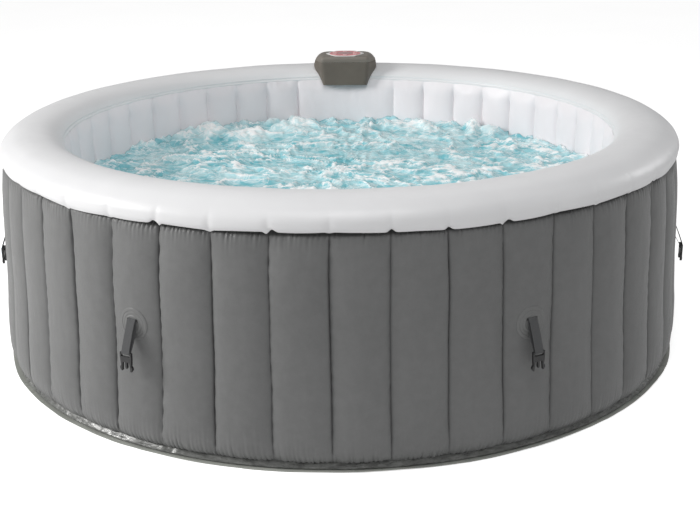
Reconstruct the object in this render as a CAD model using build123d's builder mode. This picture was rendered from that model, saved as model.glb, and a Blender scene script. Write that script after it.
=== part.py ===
from build123d import *
import math
import os

os.makedirs("parts", exist_ok=True)

# ---------------------------------------------------------------- driving dimensions (mm)
PANELS = 44                       # wall panels round the tub
PITCH = 360.0 / PANELS            # one panel, degrees
SKIN_OUT = 1.2                    # leatherette laminate
SKIN_TOP = 1.0                    # rim skin
SKIN_IN = 1.0                     # water-side skin
SHEET = 1.0                       # ground sheet
LINER = 1.2                       # floor liner

# Outer face of the outer wall, from its foot to the rim seam (radius, height)
WALL_OUT = [(1000, 16), (1016, 24), (1026, 45), (1030, 80), (1029, 140), (1024.5, 200), (1019, 300),
            (1016.5, 400), (1013, 500), (1008.5, 550), (1003, 590), (1000, 606)]
# Outer face of the rim tube, from the outer seam over the crest to the inner seam
RIM = [(1000, 607.2), (1002.5, 620), (1001, 634), (994, 647), (980, 660), (960, 670.5), (935, 676), (907, 677.5),
       (880, 675), (857, 668.5), (839, 658), (827, 644.5), (821, 631)]
# Water-side face of the inner wall, from the inner seam down to the floor
WALL_IN = [(820.5, 629.8), (812, 600), (807, 540), (805, 440), (805, 300), (806, 150), (809, 60), (812, SHEET + LINER)]

STRAP_ANGLES = {"front_left": -3.5 * PITCH, "front_right": 3.5 * PITCH, "right": 10.5 * PITCH,
                "rear_right": 17.5 * PITCH, "rear_left": -17.5 * PITCH, "left": -10.5 * PITCH}
PATCH_Z = 340.0
SLOT_Z = 352.0
STRAP_LEAN = 22.0                 # degrees off vertical
STRAP_LEN = 84.0                  # slot to buckle bar
WEB_W = 25.0
WEB_T = 1.8
BAR_R = 2.0

BAY_X, BAY_Z0, BAY_Z1 = 120.0, 130.0, 480.0
BAY_Y0, BAY_Y1 = 809.0, 1034.0
BAY_T = 3.0
FRAME_W, FRAME_H = 290.0, 400.0
BAY_ZC = (BAY_Z0 + BAY_Z1) / 2

PUMP_X, PUMP_Z = 0.0, 250.0
HEAT_X, HEAT_Y = 88.0, 854.0
RETURN_X, RETURN_Z = 88.0, 385.0
BLOW_X, BLOW_Z = -62.0, 400.0
AIR_X, AIR_Y, AIR_Z = -92.0, 905.0, 28.0

VALVE_A, VALVE_Z = 19.5 * PITCH, 470.0
DRAIN_A, DRAIN_Z = -19.25 * PITCH, 86.0

DIAL_Y = 858.0                    # centre of the round control on the console
DECK_Z = 721.0


# ---------------------------------------------------------------- helpers
def polar(a, r):
    """Point at radius r; a is measured from the front (-Y) towards +X."""
    t = math.radians(a)
    return r * math.sin(t), -r * math.cos(t)


def out_plane(a, r, z):
    """Plane that faces outward at angle a: local x is the tangent, local y is up, local z is outward."""
    t = math.radians(a)
    x, y = polar(a, r)
    return Plane(origin=(x, y, z), x_dir=(math.cos(t), math.sin(t), 0), z_dir=(math.sin(t), -math.cos(t), 0))


def side_plane(a):
    """Upright plane through the tub's axis at angle a: local x is the radius, local y is the height."""
    t = math.radians(a)
    return Plane(origin=(0, 0, 0), x_dir=(math.sin(t), -math.cos(t), 0), z_dir=(-math.cos(t), -math.sin(t), 0))


def shifted(points, t):
    """Open line of points moved by t to its left."""
    moved = []
    n = len(points)
    for i in range(n):
        x0, y0 = points[max(i - 1, 0)]
        x1, y1 = points[i]
        x2, y2 = points[min(i + 1, n - 1)]
        dirs = []
        if i > 0:
            d = math.hypot(x1 - x0, y1 - y0)
            dirs.append(((x1 - x0) / d, (y1 - y0) / d))
        if i < n - 1:
            d = math.hypot(x2 - x1, y2 - y1)
            dirs.append(((x2 - x1) / d, (y2 - y1) / d))
        tx, ty = sum(d[0] for d in dirs), sum(d[1] for d in dirs)
        d = math.hypot(tx, ty)
        tx, ty = tx / d, ty / d
        half = dirs[0][0] * tx + dirs[0][1] * ty
        moved.append((x1 - ty * t / half, y1 + tx * t / half))
    return moved


def skin(points, t):
    """Closed outline of a sheet of thickness t whose outer face follows the points."""
    return points + shifted(points, t)[::-1]


def radius_at(points, z):
    """Radius of a wall line at height z."""
    for (r0, z0), (r1, z1) in zip(points, points[1:]):
        lo, hi = min(z0, z1), max(z0, z1)
        if lo <= z <= hi and hi > lo:
            return r0 + (r1 - r0) * (z - z0) / (z1 - z0)
    return points[-1][0]


def outside_cut(gap):
    """Outline of everything inside the outer wall's face, grown by gap."""
    grown = shifted(WALL_OUT, -gap)
    return [(600, grown[0][1])] + grown + [(600, grown[-1][1])]


def inside_cut(gap):
    """Outline of everything on the chamber side of the inner wall's water face, grown by gap."""
    grown = shifted(WALL_IN, -gap)
    return [(950, grown[0][1])] + grown + [(950, grown[-1][1])]


def rim_cut(gap):
    """Outline of the rim and upper wall, grown by gap: what the console has to fit over."""
    top = shifted(RIM, -gap)
    inner = shifted(WALL_IN[:3], -gap)
    return top + inner + [(1000, inner[-1][1])]


# ---------------------------------------------------------------- shell
with BuildPart() as base_sheet:
    with BuildSketch():
        Circle(1004)
    extrude(amount=SHEET)
base_sheet.part.label = "base_sheet"
export_step(base_sheet.part, "parts/base_sheet.step")

with BuildPart() as base_flange:
    with BuildSketch(Plane.XZ):
        with BuildLine():
            Polyline((990, 1), (1022, 1), (1023.2, 2.6), (1022, 4.2), (1012, 7), (1004, 12), (999.8, 15.8), (996, 12), (990, 4), close=True)
        make_face()
    revolve(axis=Axis.Z)
base_flange.part.label = "base_flange"
export_step(base_flange.part, "parts/base_flange.step")

with BuildPart() as outer_wall:
    with BuildSketch(Plane.XZ):
        with BuildLine():
            Polyline(*skin(WALL_OUT, SKIN_OUT), close=True)
        make_face()
    revolve(axis=Axis.Z)
    # opening for the equipment bay
    with BuildSketch(Plane.XZ.offset(-900)):
        with Locations((0, BAY_ZC)):
            Rectangle(2 * BAY_X + 0.4, BAY_Z1 - BAY_Z0 + 0.4)
    extrude(amount=-200, mode=Mode.SUBTRACT)
    # holes for the inflation valve and the drain
    with BuildSketch(out_plane(VALVE_A, 980, VALVE_Z)):
        Circle(17.2)
    extrude(amount=80, mode=Mode.SUBTRACT)
    with BuildSketch(out_plane(DRAIN_A, 980, DRAIN_Z)):
        Circle(15.2)
    extrude(amount=80, mode=Mode.SUBTRACT)
outer_wall.part.label = "outer_wall"
export_step(outer_wall.part, "parts/outer_wall.step")

with BuildPart() as top_ring:
    with BuildSketch(Plane.XZ):
        with BuildLine():
            Polyline(*skin(RIM, SKIN_TOP), close=True)
        make_face()
    revolve(axis=Axis.Z)
    with BuildSketch(Plane.XY.offset(660)):
        with Locations((30, 870)):
            Circle(3.2)
    extrude(amount=40, mode=Mode.SUBTRACT)
    # the ring is welded up from lengths of two panels each, joined on every second outer seam
    for k in range(0, PANELS // 2, 2):
        split(bisect_by=Plane(origin=(0, 0, 0), z_dir=(math.cos(math.radians(k * PITCH)), math.sin(math.radians(k * PITCH)), 0)), keep=Keep.BOTH)
top_ring.part.label = "top_ring"
export_step(top_ring.part, "parts/top_ring.step")

with BuildPart() as inner_wall:
    with BuildSketch(Plane.XZ):
        with BuildLine():
            Polyline(*skin(WALL_IN, SKIN_IN), close=True)
        make_face()
    revolve(axis=Axis.Z)
    with BuildSketch(Plane.XZ.offset(-770)):
        with Locations((PUMP_X, PUMP_Z)):
            Circle(14.2)
        with Locations((RETURN_X, RETURN_Z)):
            Circle(12.2)
        with Locations((AIR_X, AIR_Z)):
            Circle(13.2)
    extrude(amount=-60, mode=Mode.SUBTRACT)
    with BuildSketch(out_plane(DRAIN_A, 780, DRAIN_Z)):
        Circle(15.2)
    extrude(amount=60, mode=Mode.SUBTRACT)
    # welded up from lengths joined on inner seams, clear of the wide panel at the back
    for k in [1.5 + 2 * i for i in range(10)] + [20.5]:
        split(bisect_by=Plane(origin=(0, 0, 0), z_dir=(math.cos(math.radians(k * PITCH)), math.sin(math.radians(k * PITCH)), 0)), keep=Keep.BOTH)
inner_wall.part.label = "inner_wall"
export_step(inner_wall.part, "parts/inner_wall.step")

with BuildPart() as floor_liner:
    with BuildSketch(Plane.XY.offset(SHEET)):
        Circle(814)
    extrude(amount=LINER)
floor_liner.part.label = "floor_liner"
export_step(floor_liner.part, "parts/floor_liner.step")

with BuildPart() as weld_bands:
    with BuildSketch(Plane.XZ):
        with BuildLine():
            Polyline((997.0, 598), (998.5, 598), (998.5, 616), (997.0, 616), close=True)
        make_face()
        with BuildLine():
            Polyline((826.6, 618), (828.0, 618), (828.0, 640), (826.6, 640), close=True)
        make_face()
    revolve(axis=Axis.Z)
weld_bands.part.label = "weld_bands"
export_step(weld_bands.part, "parts/weld_bands.step")

# Webs from each outer seam to the inner seam half a panel on; two are left out for the equipment bay
WEB_GAP = 0.5
web_outer = [p for p in shifted(WALL_OUT, SKIN_OUT + WEB_GAP) if 40 < p[1] < 596]
web_outer = [(radius_at(shifted(WALL_OUT, SKIN_OUT + WEB_GAP), 30.0), 30.0)] + web_outer
web_inner = [p for p in shifted(WALL_IN, SKIN_IN + WEB_GAP) if 40 < p[1] < 596]
web_inner = web_inner + [(radius_at(shifted(WALL_IN, SKIN_IN + WEB_GAP), 30.0), 30.0)]
with BuildPart() as wall_baffles:
    for k in range(PANELS):
        if k in (21, 22):
            continue
        ox, oy = polar(k * PITCH, 1000.0)
        ix, iy = polar((k + 0.5) * PITCH, 821.0)
        span = math.hypot(ox - ix, oy - iy)
        ux, uy = (ox - ix) / span, (oy - iy) / span

        def along(r):
            b = ix * ux + iy * uy
            c = ix * ix + iy * iy - r * r
            return -b + math.sqrt(b * b - c)

        outline = [(along(r), z) for r, z in web_outer] + [(along(r), z) for r, z in web_inner]
        web_plane = Plane(origin=(ix, iy, 0), x_dir=(ux, uy, 0), z_dir=(uy, -ux, 0))
        with BuildSketch(web_plane):
            with BuildLine():
                Polyline(*outline, close=True)
            make_face()
        extrude(amount=0.3, both=True)
wall_baffles.part.label = "wall_baffles"
export_step(wall_baffles.part, "parts/wall_baffles.step")

CHANNEL = [(809.1, 52), (795, 54), (770, 50), (752, 38), (747, 20), (750, SHEET + LINER)]
with BuildPart() as air_channel:
    with BuildSketch(Plane.XZ):
        with BuildLine():
            Polyline(*skin(CHANNEL, 1.0), close=True)
        make_face()
    revolve(axis=Axis.Z)
    with BuildSketch(Plane.XY.offset(60)):
        with PolarLocations(782, 72):
            Circle(1.75)
    extrude(amount=-16, mode=Mode.SUBTRACT)
air_channel.part.label = "air_channel"
export_step(air_channel.part, "parts/air_channel.step")

# ---------------------------------------------------------------- strap patches, straps and buckles
HUB_R = radius_at(WALL_OUT, SLOT_Z) + 3.0
PATCH_R = max(radius_at(WALL_OUT, PATCH_Z + dz) for dz in range(-42, 43, 2)) + 0.06
with BuildPart() as strap_patches:
    for a in STRAP_ANGLES.values():
        with BuildSketch(out_plane(a, PATCH_R, PATCH_Z)):
            RegularPolygon(42, 48)
        extrude(amount=0.9)
        with BuildSketch(out_plane(a, PATCH_R, PATCH_Z)):
            RegularPolygon(23, 36)
        extrude(amount=HUB_R - PATCH_R)
        with BuildSketch(out_plane(a, HUB_R + 3, SLOT_Z - 1)):
            Rectangle(32, 8)
        extrude(amount=-5.6, mode=Mode.SUBTRACT)
strap_patches.part.label = "strap_patches"
export_step(strap_patches.part, "parts/strap_patches.step")

HINGE_R = HUB_R
LEAN = math.radians(STRAP_LEAN)
BAR_DR, BAR_DZ = STRAP_LEN * math.sin(LEAN), -STRAP_LEN * math.cos(LEAN)
for where, a in STRAP_ANGLES.items():
    nx, nz = math.cos(LEAN), math.sin(LEAN)          # across the webbing
    dx, dz = math.sin(LEAN), -math.cos(LEAN)         # along the webbing
    h = WEB_T / 2
    end = STRAP_LEN - 2.6
    with BuildPart() as strap:
        with BuildSketch(side_plane(a)):
            with BuildLine():
                Polyline((HINGE_R + nx * h, SLOT_Z + nz * h), (HINGE_R + dx * end + nx * h, SLOT_Z + dz * end + nz * h),
                         (HINGE_R + dx * end - nx * h, SLOT_Z + dz * end - nz * h), (HINGE_R - nx * h, SLOT_Z - nz * h), close=True)
            make_face()
            with Locations((HINGE_R, SLOT_Z)):
                Circle(1.6)
            with Locations((HINGE_R + BAR_DR, SLOT_Z + BAR_DZ)):
                Circle(BAR_R + 0.08 + WEB_T)
            with Locations((HINGE_R + BAR_DR, SLOT_Z + BAR_DZ)):
                Circle(BAR_R + 0.08, mode=Mode.SUBTRACT)
        extrude(amount=WEB_W / 2, both=True)
    strap.part.label = f"{where}_strap"
    export_step(strap.part, f"parts/{where}_strap.step")

    bar_plane = out_plane(a, HINGE_R + BAR_DR, SLOT_Z + BAR_DZ)
    with BuildPart() as buckle:
        with BuildSketch(bar_plane):
            for s in (-1, 1):
                with BuildLine():
                    Polyline((s * 13.2, 3.4), (s * 17.0, 3.4), (s * 17.6, -10), (s * 16.6, -23), (s * 15.6, -31), (s * 19.4, -36),
                             (s * 19.2, -41), (s * 14.5, -47), (s * 12.4, -46), (s * 11.2, -34), (s * 9.6, -23), (s * 3.0, -23),
                             (s * 3.0, -37), (s * 1.6, -40), (0, -40), (0, -8), (s * 13.2, -8), close=True)
                make_face()
        extrude(amount=3.4, both=True)
        with BuildSketch(side_plane(a)):
            with Locations((HINGE_R + BAR_DR, SLOT_Z + BAR_DZ)):
                Circle(BAR_R)
        extrude(amount=14.5, both=True)
    buckle.part.label = f"{where}_buckle"
    export_step(buckle.part, f"parts/{where}_buckle.step")


# ---------------------------------------------------------------- console
def console_section(w_top, z_top, w_mid, z_mid, w_bot, z_bot):
    return [(-w_top, z_top), (w_top, z_top), (w_mid, z_mid), (w_bot, z_bot), (-w_bot, z_bot), (-w_mid, z_mid)]


SECTIONS = [(788, (88, DECK_Z, 84, 672, 79, 617)), (838, (102, DECK_Z, 116, 682, 84, 612)),
            (918, (100, DECK_Z, 114, 684, 84, 612)), (940, (82, 712, 96, 684, 74, 612))]
HOLLOW = [(792, (84, DECK_Z - 3.5, 84, 690, 83, 681)), (838, (98, DECK_Z - 3.5, 112, 684, 111, 681)),
          (915, (96, DECK_Z - 3.5, 110, 686, 109, 681)), (935, (78, 708, 92, 686, 91, 681))]
with BuildPart() as console_form:
    for y, s in SECTIONS:
        with BuildSketch(Plane.XZ.offset(-y)):
            with BuildLine():
                Polyline(*console_section(*s), close=True)
            make_face()
    loft(ruled=True)
    with BuildSketch(Plane.XZ):
        with BuildLine():
            Polyline(*rim_cut(0.3), close=True)
        make_face()
    revolve(axis=Axis.Z, mode=Mode.SUBTRACT)
with BuildPart() as console_hollow:
    for y, s in HOLLOW:
        with BuildSketch(Plane.XZ.offset(-y)):
            with BuildLine():
                Polyline(*console_section(*s), close=True)
            make_face()
    loft(ruled=True)
POSTS = [(-72, 812), (72, 812), (-72, 908), (72, 908)]
BUTTON_AT = {"power_button": 90, "heat_button": 30, "plus_button": -30, "filter_button": -90, "minus_button": -150, "bubble_button": 150}
BUTTON_PCR = 43.0


def dial_point(angle, r):
    return r * math.cos(math.radians(angle)), DIAL_Y + r * math.sin(math.radians(angle))


with BuildPart() as console_base:
    add(console_form.part)
    add(console_hollow.part, mode=Mode.SUBTRACT)
    split(bisect_by=Plane.XY.offset(700), keep=Keep.BOTTOM)
    with BuildSketch(Plane.XY.offset(680.9)):
        with Locations(*POSTS):
            Circle(5)
    extrude(amount=19.1)
    with BuildSketch(Plane.XY.offset(682)):
        with Locations(*POSTS):
            Circle(1.7)
    extrude(amount=20, mode=Mode.SUBTRACT)
    with BuildSketch(Plane.XY.offset(600)):
        with Locations((30, 870)):
            Circle(3.2)
    extrude(amount=90, mode=Mode.SUBTRACT)
console_base.part.label = "console_base"
export_step(console_base.part, "parts/console_base.step")

with BuildPart() as console_cover:
    add(console_form.part)
    add(console_hollow.part, mode=Mode.SUBTRACT)
    split(bisect_by=Plane.XY.offset(700), keep=Keep.TOP)
    with BuildSketch(Plane.XY.offset(700)):
        with Locations(*POSTS):
            Circle(5)
    extrude(amount=17.6)
    with BuildSketch(Plane.XY.offset(700)):
        with Locations(*POSTS):
            Circle(1.7)
    extrude(amount=12, mode=Mode.SUBTRACT)
    with BuildSketch(Plane.XY.offset(710)):
        for b in BUTTON_AT.values():
            with Locations(dial_point(b, BUTTON_PCR)):
                Circle(8.8)
        with Locations((0, DIAL_Y)):
            Circle(22)
    extrude(amount=20, mode=Mode.SUBTRACT)
console_cover.part.label = "console_cover"
export_step(console_cover.part, "parts/console_cover.step")

with BuildPart() as console_board:
    with BuildSketch(Plane.XY.offset(705)):
        with Locations((0, DIAL_Y)):
            Rectangle(124, 100)
    extrude(amount=1.6)
    with BuildSketch(Plane.XY.offset(706.6)):
        for b in BUTTON_AT.values():
            with Locations(dial_point(b, BUTTON_PCR)):
                Rectangle(6, 6)
    extrude(amount=5)
    with BuildSketch(Plane.XY.offset(706.6)):
        with Locations((0, DIAL_Y)):
            Rectangle(34, 22)
    extrude(amount=8)
console_board.part.label = "console_board"
export_step(console_board.part, "parts/console_board.step")

with BuildPart() as control_bezel:
    with BuildSketch(Plane.XY.offset(DECK_Z)):
        with BuildLine():
            Polyline(*[dial_point(30 * i, 70.0 if i % 2 == 0 else 60.8) for i in range(12)], close=True)
        make_face()
        with Locations((0, DIAL_Y)):
            Circle(57.6, mode=Mode.SUBTRACT)
    extrude(amount=2.2)
    fillet(control_bezel.edges().filter_by(Axis.Z).group_by(Axis.X)[0], radius=3)
    fillet(control_bezel.edges().filter_by(Axis.Z).group_by(Axis.X)[-1], radius=3)
control_bezel.part.label = "control_bezel"
export_step(control_bezel.part, "parts/control_bezel.step")

with BuildPart() as touch_ring:
    with BuildSketch(Plane.XY.offset(DECK_Z)):
        with Locations((0, DIAL_Y)):
            Circle(57.4)
            Circle(28.6, mode=Mode.SUBTRACT)
        for b in BUTTON_AT.values():
            with Locations(dial_point(b, BUTTON_PCR)):
                Circle(8.8, mode=Mode.SUBTRACT)
    extrude(amount=2.8)
    fillet(touch_ring.edges().group_by(Axis.Z)[-1].sort_by(SortBy.LENGTH)[-1], radius=1.2)
touch_ring.part.label = "touch_ring"
export_step(touch_ring.part, "parts/touch_ring.step")

with BuildPart() as display_window:
    with BuildSketch(Plane.XY.offset(DECK_Z)):
        with Locations((0, DIAL_Y)):
            Circle(28.4)
    extrude(amount=3.2)
    fillet(display_window.edges().group_by(Axis.Z)[-1], radius=1.0)
display_window.part.label = "display_window"
export_step(display_window.part, "parts/display_window.step")

for name, b in BUTTON_AT.items():
    with BuildPart() as button:
        with BuildSketch(Plane.XY.offset(715.6)):
            with Locations(dial_point(b, BUTTON_PCR)):
                Circle(8.6)
        extrude(amount=9.2)
        fillet(button.edges().group_by(Axis.Z)[-1], radius=1.2)
        with BuildSketch(Plane.XY.offset(713.4)):
            with Locations(dial_point(b, BUTTON_PCR)):
                Circle(9.8)
        extrude(amount=2.2)
    button.part.label = name
    export_step(button.part, f"parts/{name}.step")

# ---------------------------------------------------------------- equipment bay
SCREWS = [(x, z) for x in (-132.5, 132.5) for z in (BAY_ZC - 187, BAY_ZC - 62, BAY_ZC + 62, BAY_ZC + 187)] + [(0, BAY_ZC - 187), (0, BAY_ZC + 187)]

with BuildPart() as bay_box:
    with BuildSketch(Plane.XZ.offset(-BAY_Y0)):
        with Locations((0, BAY_ZC)):
            Rectangle(2 * BAY_X, BAY_Z1 - BAY_Z0)
    extrude(amount=-(BAY_Y1 - BAY_Y0))
    with BuildSketch(Plane.XZ.offset(-(BAY_Y0 + BAY_T))):
        with Locations((0, BAY_ZC)):
            Rectangle(2 * (BAY_X - BAY_T), BAY_Z1 - BAY_Z0 - 2 * BAY_T)
    extrude(amount=-300, mode=Mode.SUBTRACT)
    with BuildSketch(Plane.XZ.offset(-(BAY_Y0 - 5))):
        with Locations((PUMP_X, PUMP_Z)):
            Circle(14.2)
        with Locations((RETURN_X, RETURN_Z)):
            Circle(12.2)
    extrude(amount=-12, mode=Mode.SUBTRACT)
    with BuildSketch(Plane.XY.offset(BAY_Z0 - 2)):
        with Locations((AIR_X, AIR_Y)):
            Circle(13.2)
    extrude(amount=8, mode=Mode.SUBTRACT)
    with BuildSketch(Plane.XY.offset(BAY_Z1 - 5)):
        with Locations((30, 870)):
            Circle(3.2)
    extrude(amount=8, mode=Mode.SUBTRACT)
bay_box.part.label = "bay_box"
export_step(bay_box.part, "parts/bay_box.step")

with BuildPart() as bay_frame:
    with BuildSketch(Plane.XZ.offset(-1000)):
        with Locations((0, BAY_ZC)):
            RectangleRounded(FRAME_W, FRAME_H, 16)
            Rectangle(2 * BAY_X + 0.6, BAY_Z1 - BAY_Z0 + 0.6, mode=Mode.SUBTRACT)
    extrude(amount=-38)
    with BuildSketch(Plane.XZ):
        with BuildLine():
            Polyline(*outside_cut(0.05), close=True)
        make_face()
    revolve(axis=Axis.Z, mode=Mode.SUBTRACT)
    with BuildSketch(Plane.XZ.offset(-1030.5)):
        with Locations(*SCREWS):
            Circle(2.2)
    extrude(amount=-12, mode=Mode.SUBTRACT)
bay_frame.part.label = "bay_frame"
export_step(bay_frame.part, "parts/bay_frame.step")

with BuildPart() as cover_gasket:
    with BuildSketch(Plane.XZ.offset(-1038)):
        with Locations((0, BAY_ZC)):
            RectangleRounded(FRAME_W - 4, FRAME_H - 4, 14)
            Rectangle(246, 356, mode=Mode.SUBTRACT)
        with Locations(*SCREWS):
            Circle(2.4, mode=Mode.SUBTRACT)
    extrude(amount=-1.5)
cover_gasket.part.label = "cover_gasket"
export_step(cover_gasket.part, "parts/cover_gasket.step")

GLAND_X, GLAND_Z = -86.0, 158.0
with BuildPart() as access_cover:
    with BuildSketch(Plane.XZ.offset(-1039.5)):
        with Locations((0, BAY_ZC)):
            RectangleRounded(FRAME_W, FRAME_H, 16)
        with Locations(*SCREWS):
            Circle(2.4, mode=Mode.SUBTRACT)
        with Locations((GLAND_X, GLAND_Z)):
            Circle(8.2, mode=Mode.SUBTRACT)
        for i in range(9):
            with Locations((0, BAY_ZC + 30 + 14 * i)):
                SlotOverall(150, 5, mode=Mode.SUBTRACT)
    extrude(amount=-4)
    fillet(access_cover.edges().group_by(Axis.Y)[-1].sort_by(SortBy.LENGTH)[-8:].filter_by(GeomType.LINE), radius=0.8)
access_cover.part.label = "access_cover"
export_step(access_cover.part, "parts/access_cover.step")

with BuildPart() as screws:
    with BuildSketch(Plane.XZ.offset(-1031)):
        with Locations(*SCREWS):
            Circle(2)
    extrude(amount=-12.5)
    with BuildSketch(Plane.XZ.offset(-1043.5)):
        with Locations(*SCREWS):
            Circle(4.6)
    extrude(amount=-2.6)
    with BuildSketch(Plane.XZ.offset(-1044.8)):
        with Locations(*SCREWS):
            Rectangle(5.2, 1.1)
            Rectangle(1.1, 5.2)
    extrude(amount=-2, mode=Mode.SUBTRACT)
    with BuildSketch(Plane.XY.offset(686)):
        with Locations(*POSTS):
            Circle(1.5)
    extrude(amount=25)
screws.part.label = "screws"
export_step(screws.part, "parts/screws.step")

with BuildPart() as power_gland:
    with BuildSketch(Plane.XZ.offset(-1032)):
        with Locations((GLAND_X, GLAND_Z)):
            Circle(8)
    extrude(amount=-26)
    with BuildSketch(Plane.XZ.offset(-1043.6)):
        with Locations((GLAND_X, GLAND_Z)):
            RegularPolygon(12.5, 6)
    extrude(amount=-5)
    with BuildSketch(Plane.XZ.offset(-1034.4)):
        with Locations((GLAND_X, GLAND_Z)):
            RegularPolygon(12.5, 6)
    extrude(amount=-5)
    with BuildSketch(Plane.XZ.offset(-1030)):
        with Locations((GLAND_X, GLAND_Z)):
            Circle(4.5)
    extrude(amount=-40, mode=Mode.SUBTRACT)
power_gland.part.label = "power_gland"
export_step(power_gland.part, "parts/power_gland.step")

with BuildPart() as pump_volute:
    with BuildSketch(Plane.XZ.offset(-834)):
        with Locations((PUMP_X, PUMP_Z)):
            Circle(52)
    extrude(amount=-40)
    with BuildSketch(Plane.YZ):
        with Locations((854, PUMP_Z - 34)):
            Circle(13)
    extrude(amount=66)
    with BuildSketch(Plane.XZ.offset(-838)):
        with Locations((PUMP_X, PUMP_Z)):
            Circle(46)
    extrude(amount=-32, mode=Mode.SUBTRACT)
    with BuildSketch(Plane.YZ):
        with Locations((854, PUMP_Z - 34)):
            Circle(10)
    extrude(amount=70, mode=Mode.SUBTRACT)
    with BuildSketch(Plane.XZ.offset(-830)):
        with Locations((PUMP_X, PUMP_Z)):
            Circle(14.1)
    extrude(amount=-8.01, mode=Mode.SUBTRACT)
    with BuildSketch(Plane.XZ.offset(-860)):
        with Locations((PUMP_X, PUMP_Z)):
            Circle(4.06)
    extrude(amount=-20, mode=Mode.SUBTRACT)
pump_volute.part.label = "pump_volute"
export_step(pump_volute.part, "parts/pump_volute.step")

with BuildPart() as pump_motor:
    with BuildSketch(Plane.XZ.offset(-874)):
        with Locations((PUMP_X, PUMP_Z)):
            Circle(42)
    extrude(amount=-86)
    with BuildSketch(Plane.XZ.offset(-880)):
        with Locations((PUMP_X, PUMP_Z)):
            Circle(31)
    extrude(amount=-68, mode=Mode.SUBTRACT)
    with BuildSketch(Plane.XZ.offset(-870)):
        with Locations((PUMP_X, PUMP_Z)):
            Circle(4.06)
    extrude(amount=-84.5, mode=Mode.SUBTRACT)
    fillet(pump_motor.edges().group_by(Axis.Y)[-1], radius=4)
pump_motor.part.label = "pump_motor"
export_step(pump_motor.part, "parts/pump_motor.step")

with BuildPart() as pump_rotor:
    with BuildSketch(Plane.XZ.offset(-856)):
        with Locations((PUMP_X, PUMP_Z)):
            Circle(40)
    extrude(amount=-3)
    with BuildSketch(Plane.XZ.offset(-844)):
        with Locations((PUMP_X, PUMP_Z)):
            Circle(9)
    extrude(amount=-12)
    with BuildSketch(Plane.XZ.offset(-844)):
        for i in range(6):
            t = math.radians(60 * i)
            with Locations(Location((PUMP_X + 23 * math.cos(t), PUMP_Z + 23 * math.sin(t)), 60 * i + 28)):
                Rectangle(32, 2.4)
    extrude(amount=-12.2)
    with BuildSketch(Plane.XZ.offset(-856)):
        with Locations((PUMP_X, PUMP_Z)):
            Circle(4)
    extrude(amount=-97)
    with BuildSketch(Plane.XZ.offset(-884)):
        with Locations((PUMP_X, PUMP_Z)):
            Circle(28)
    extrude(amount=-60)
pump_rotor.part.label = "pump_rotor"
export_step(pump_rotor.part, "parts/pump_rotor.step")

with BuildPart() as heater_tube:
    with BuildSketch(Plane.XY.offset(196)):
        with Locations((HEAT_X, HEAT_Y)):
            Circle(25)
    extrude(amount=208)
    with BuildSketch(Plane.XY.offset(199)):
        with Locations((HEAT_X, HEAT_Y)):
            Circle(23.5)
    extrude(amount=202, mode=Mode.SUBTRACT)
    with BuildSketch(Plane.YZ.offset(58)):
        with Locations((HEAT_Y, PUMP_Z - 34)):
            Circle(13.1)
    extrude(amount=20, mode=Mode.SUBTRACT)
    with BuildSketch(Plane.XZ.offset(-822)):
        with Locations((RETURN_X, RETURN_Z)):
            Circle(12.1)
    extrude(amount=-20, mode=Mode.SUBTRACT)
heater_tube.part.label = "heater_tube"
export_step(heater_tube.part, "parts/heater_tube.step")

with BuildPart() as heater_element:
    with BuildLine() as element_path:
        e1 = Line((HEAT_X + 10, HEAT_Y, 199.2), (HEAT_X + 10, HEAT_Y, 350))
        e2 = ThreePointArc((HEAT_X + 10, HEAT_Y, 350), (HEAT_X, HEAT_Y, 360), (HEAT_X - 10, HEAT_Y, 350))
        e3 = Line((HEAT_X - 10, HEAT_Y, 350), (HEAT_X - 10, HEAT_Y, 232))
    with BuildSketch(Plane.XY.offset(199.2)):
        with Locations((HEAT_X + 10, HEAT_Y)):
            Circle(4)
    sweep()
heater_element.part.label = "heater_element"
export_step(heater_element.part, "parts/heater_element.step")

with BuildPart() as blower_housing:
    with BuildSketch(Plane.XZ.offset(-880)):
        with Locations((BLOW_X, BLOW_Z)):
            Circle(48)
    extrude(amount=-50)
    with BuildSketch(Plane.XY.offset(345)):
        with Locations((AIR_X, AIR_Y)):
            Circle(13)
    extrude(amount=55)
    with BuildSketch(Plane.XZ.offset(-884)):
        with Locations((BLOW_X, BLOW_Z)):
            Circle(42)
    extrude(amount=-42, mode=Mode.SUBTRACT)
    with BuildSketch(Plane.XY.offset(344)):
        with Locations((AIR_X, AIR_Y)):
            Circle(10)
    extrude(amount=50, mode=Mode.SUBTRACT)
    with BuildSketch(Plane.XZ.offset(-878)):
        with Locations((BLOW_X, BLOW_Z)):
            Circle(18)
    extrude(amount=-8, mode=Mode.SUBTRACT)
    with BuildSketch(Plane.XZ.offset(-924)):
        with Locations((BLOW_X, BLOW_Z)):
            Circle(3.06)
    extrude(amount=-8, mode=Mode.SUBTRACT)
blower_housing.part.label = "blower_housing"
export_step(blower_housing.part, "parts/blower_housing.step")

with BuildPart() as blower_motor:
    with BuildSketch(Plane.XZ.offset(-930)):
        with Locations((BLOW_X, BLOW_Z)):
            Circle(26)
    extrude(amount=-46)
    with BuildSketch(Plane.XZ.offset(-928)):
        with Locations((BLOW_X, BLOW_Z)):
            Circle(3.06)
    extrude(amount=-30, mode=Mode.SUBTRACT)
    fillet(blower_motor.edges().group_by(Axis.Y)[-1], radius=3)
blower_motor.part.label = "blower_motor"
export_step(blower_motor.part, "parts/blower_motor.step")

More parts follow.
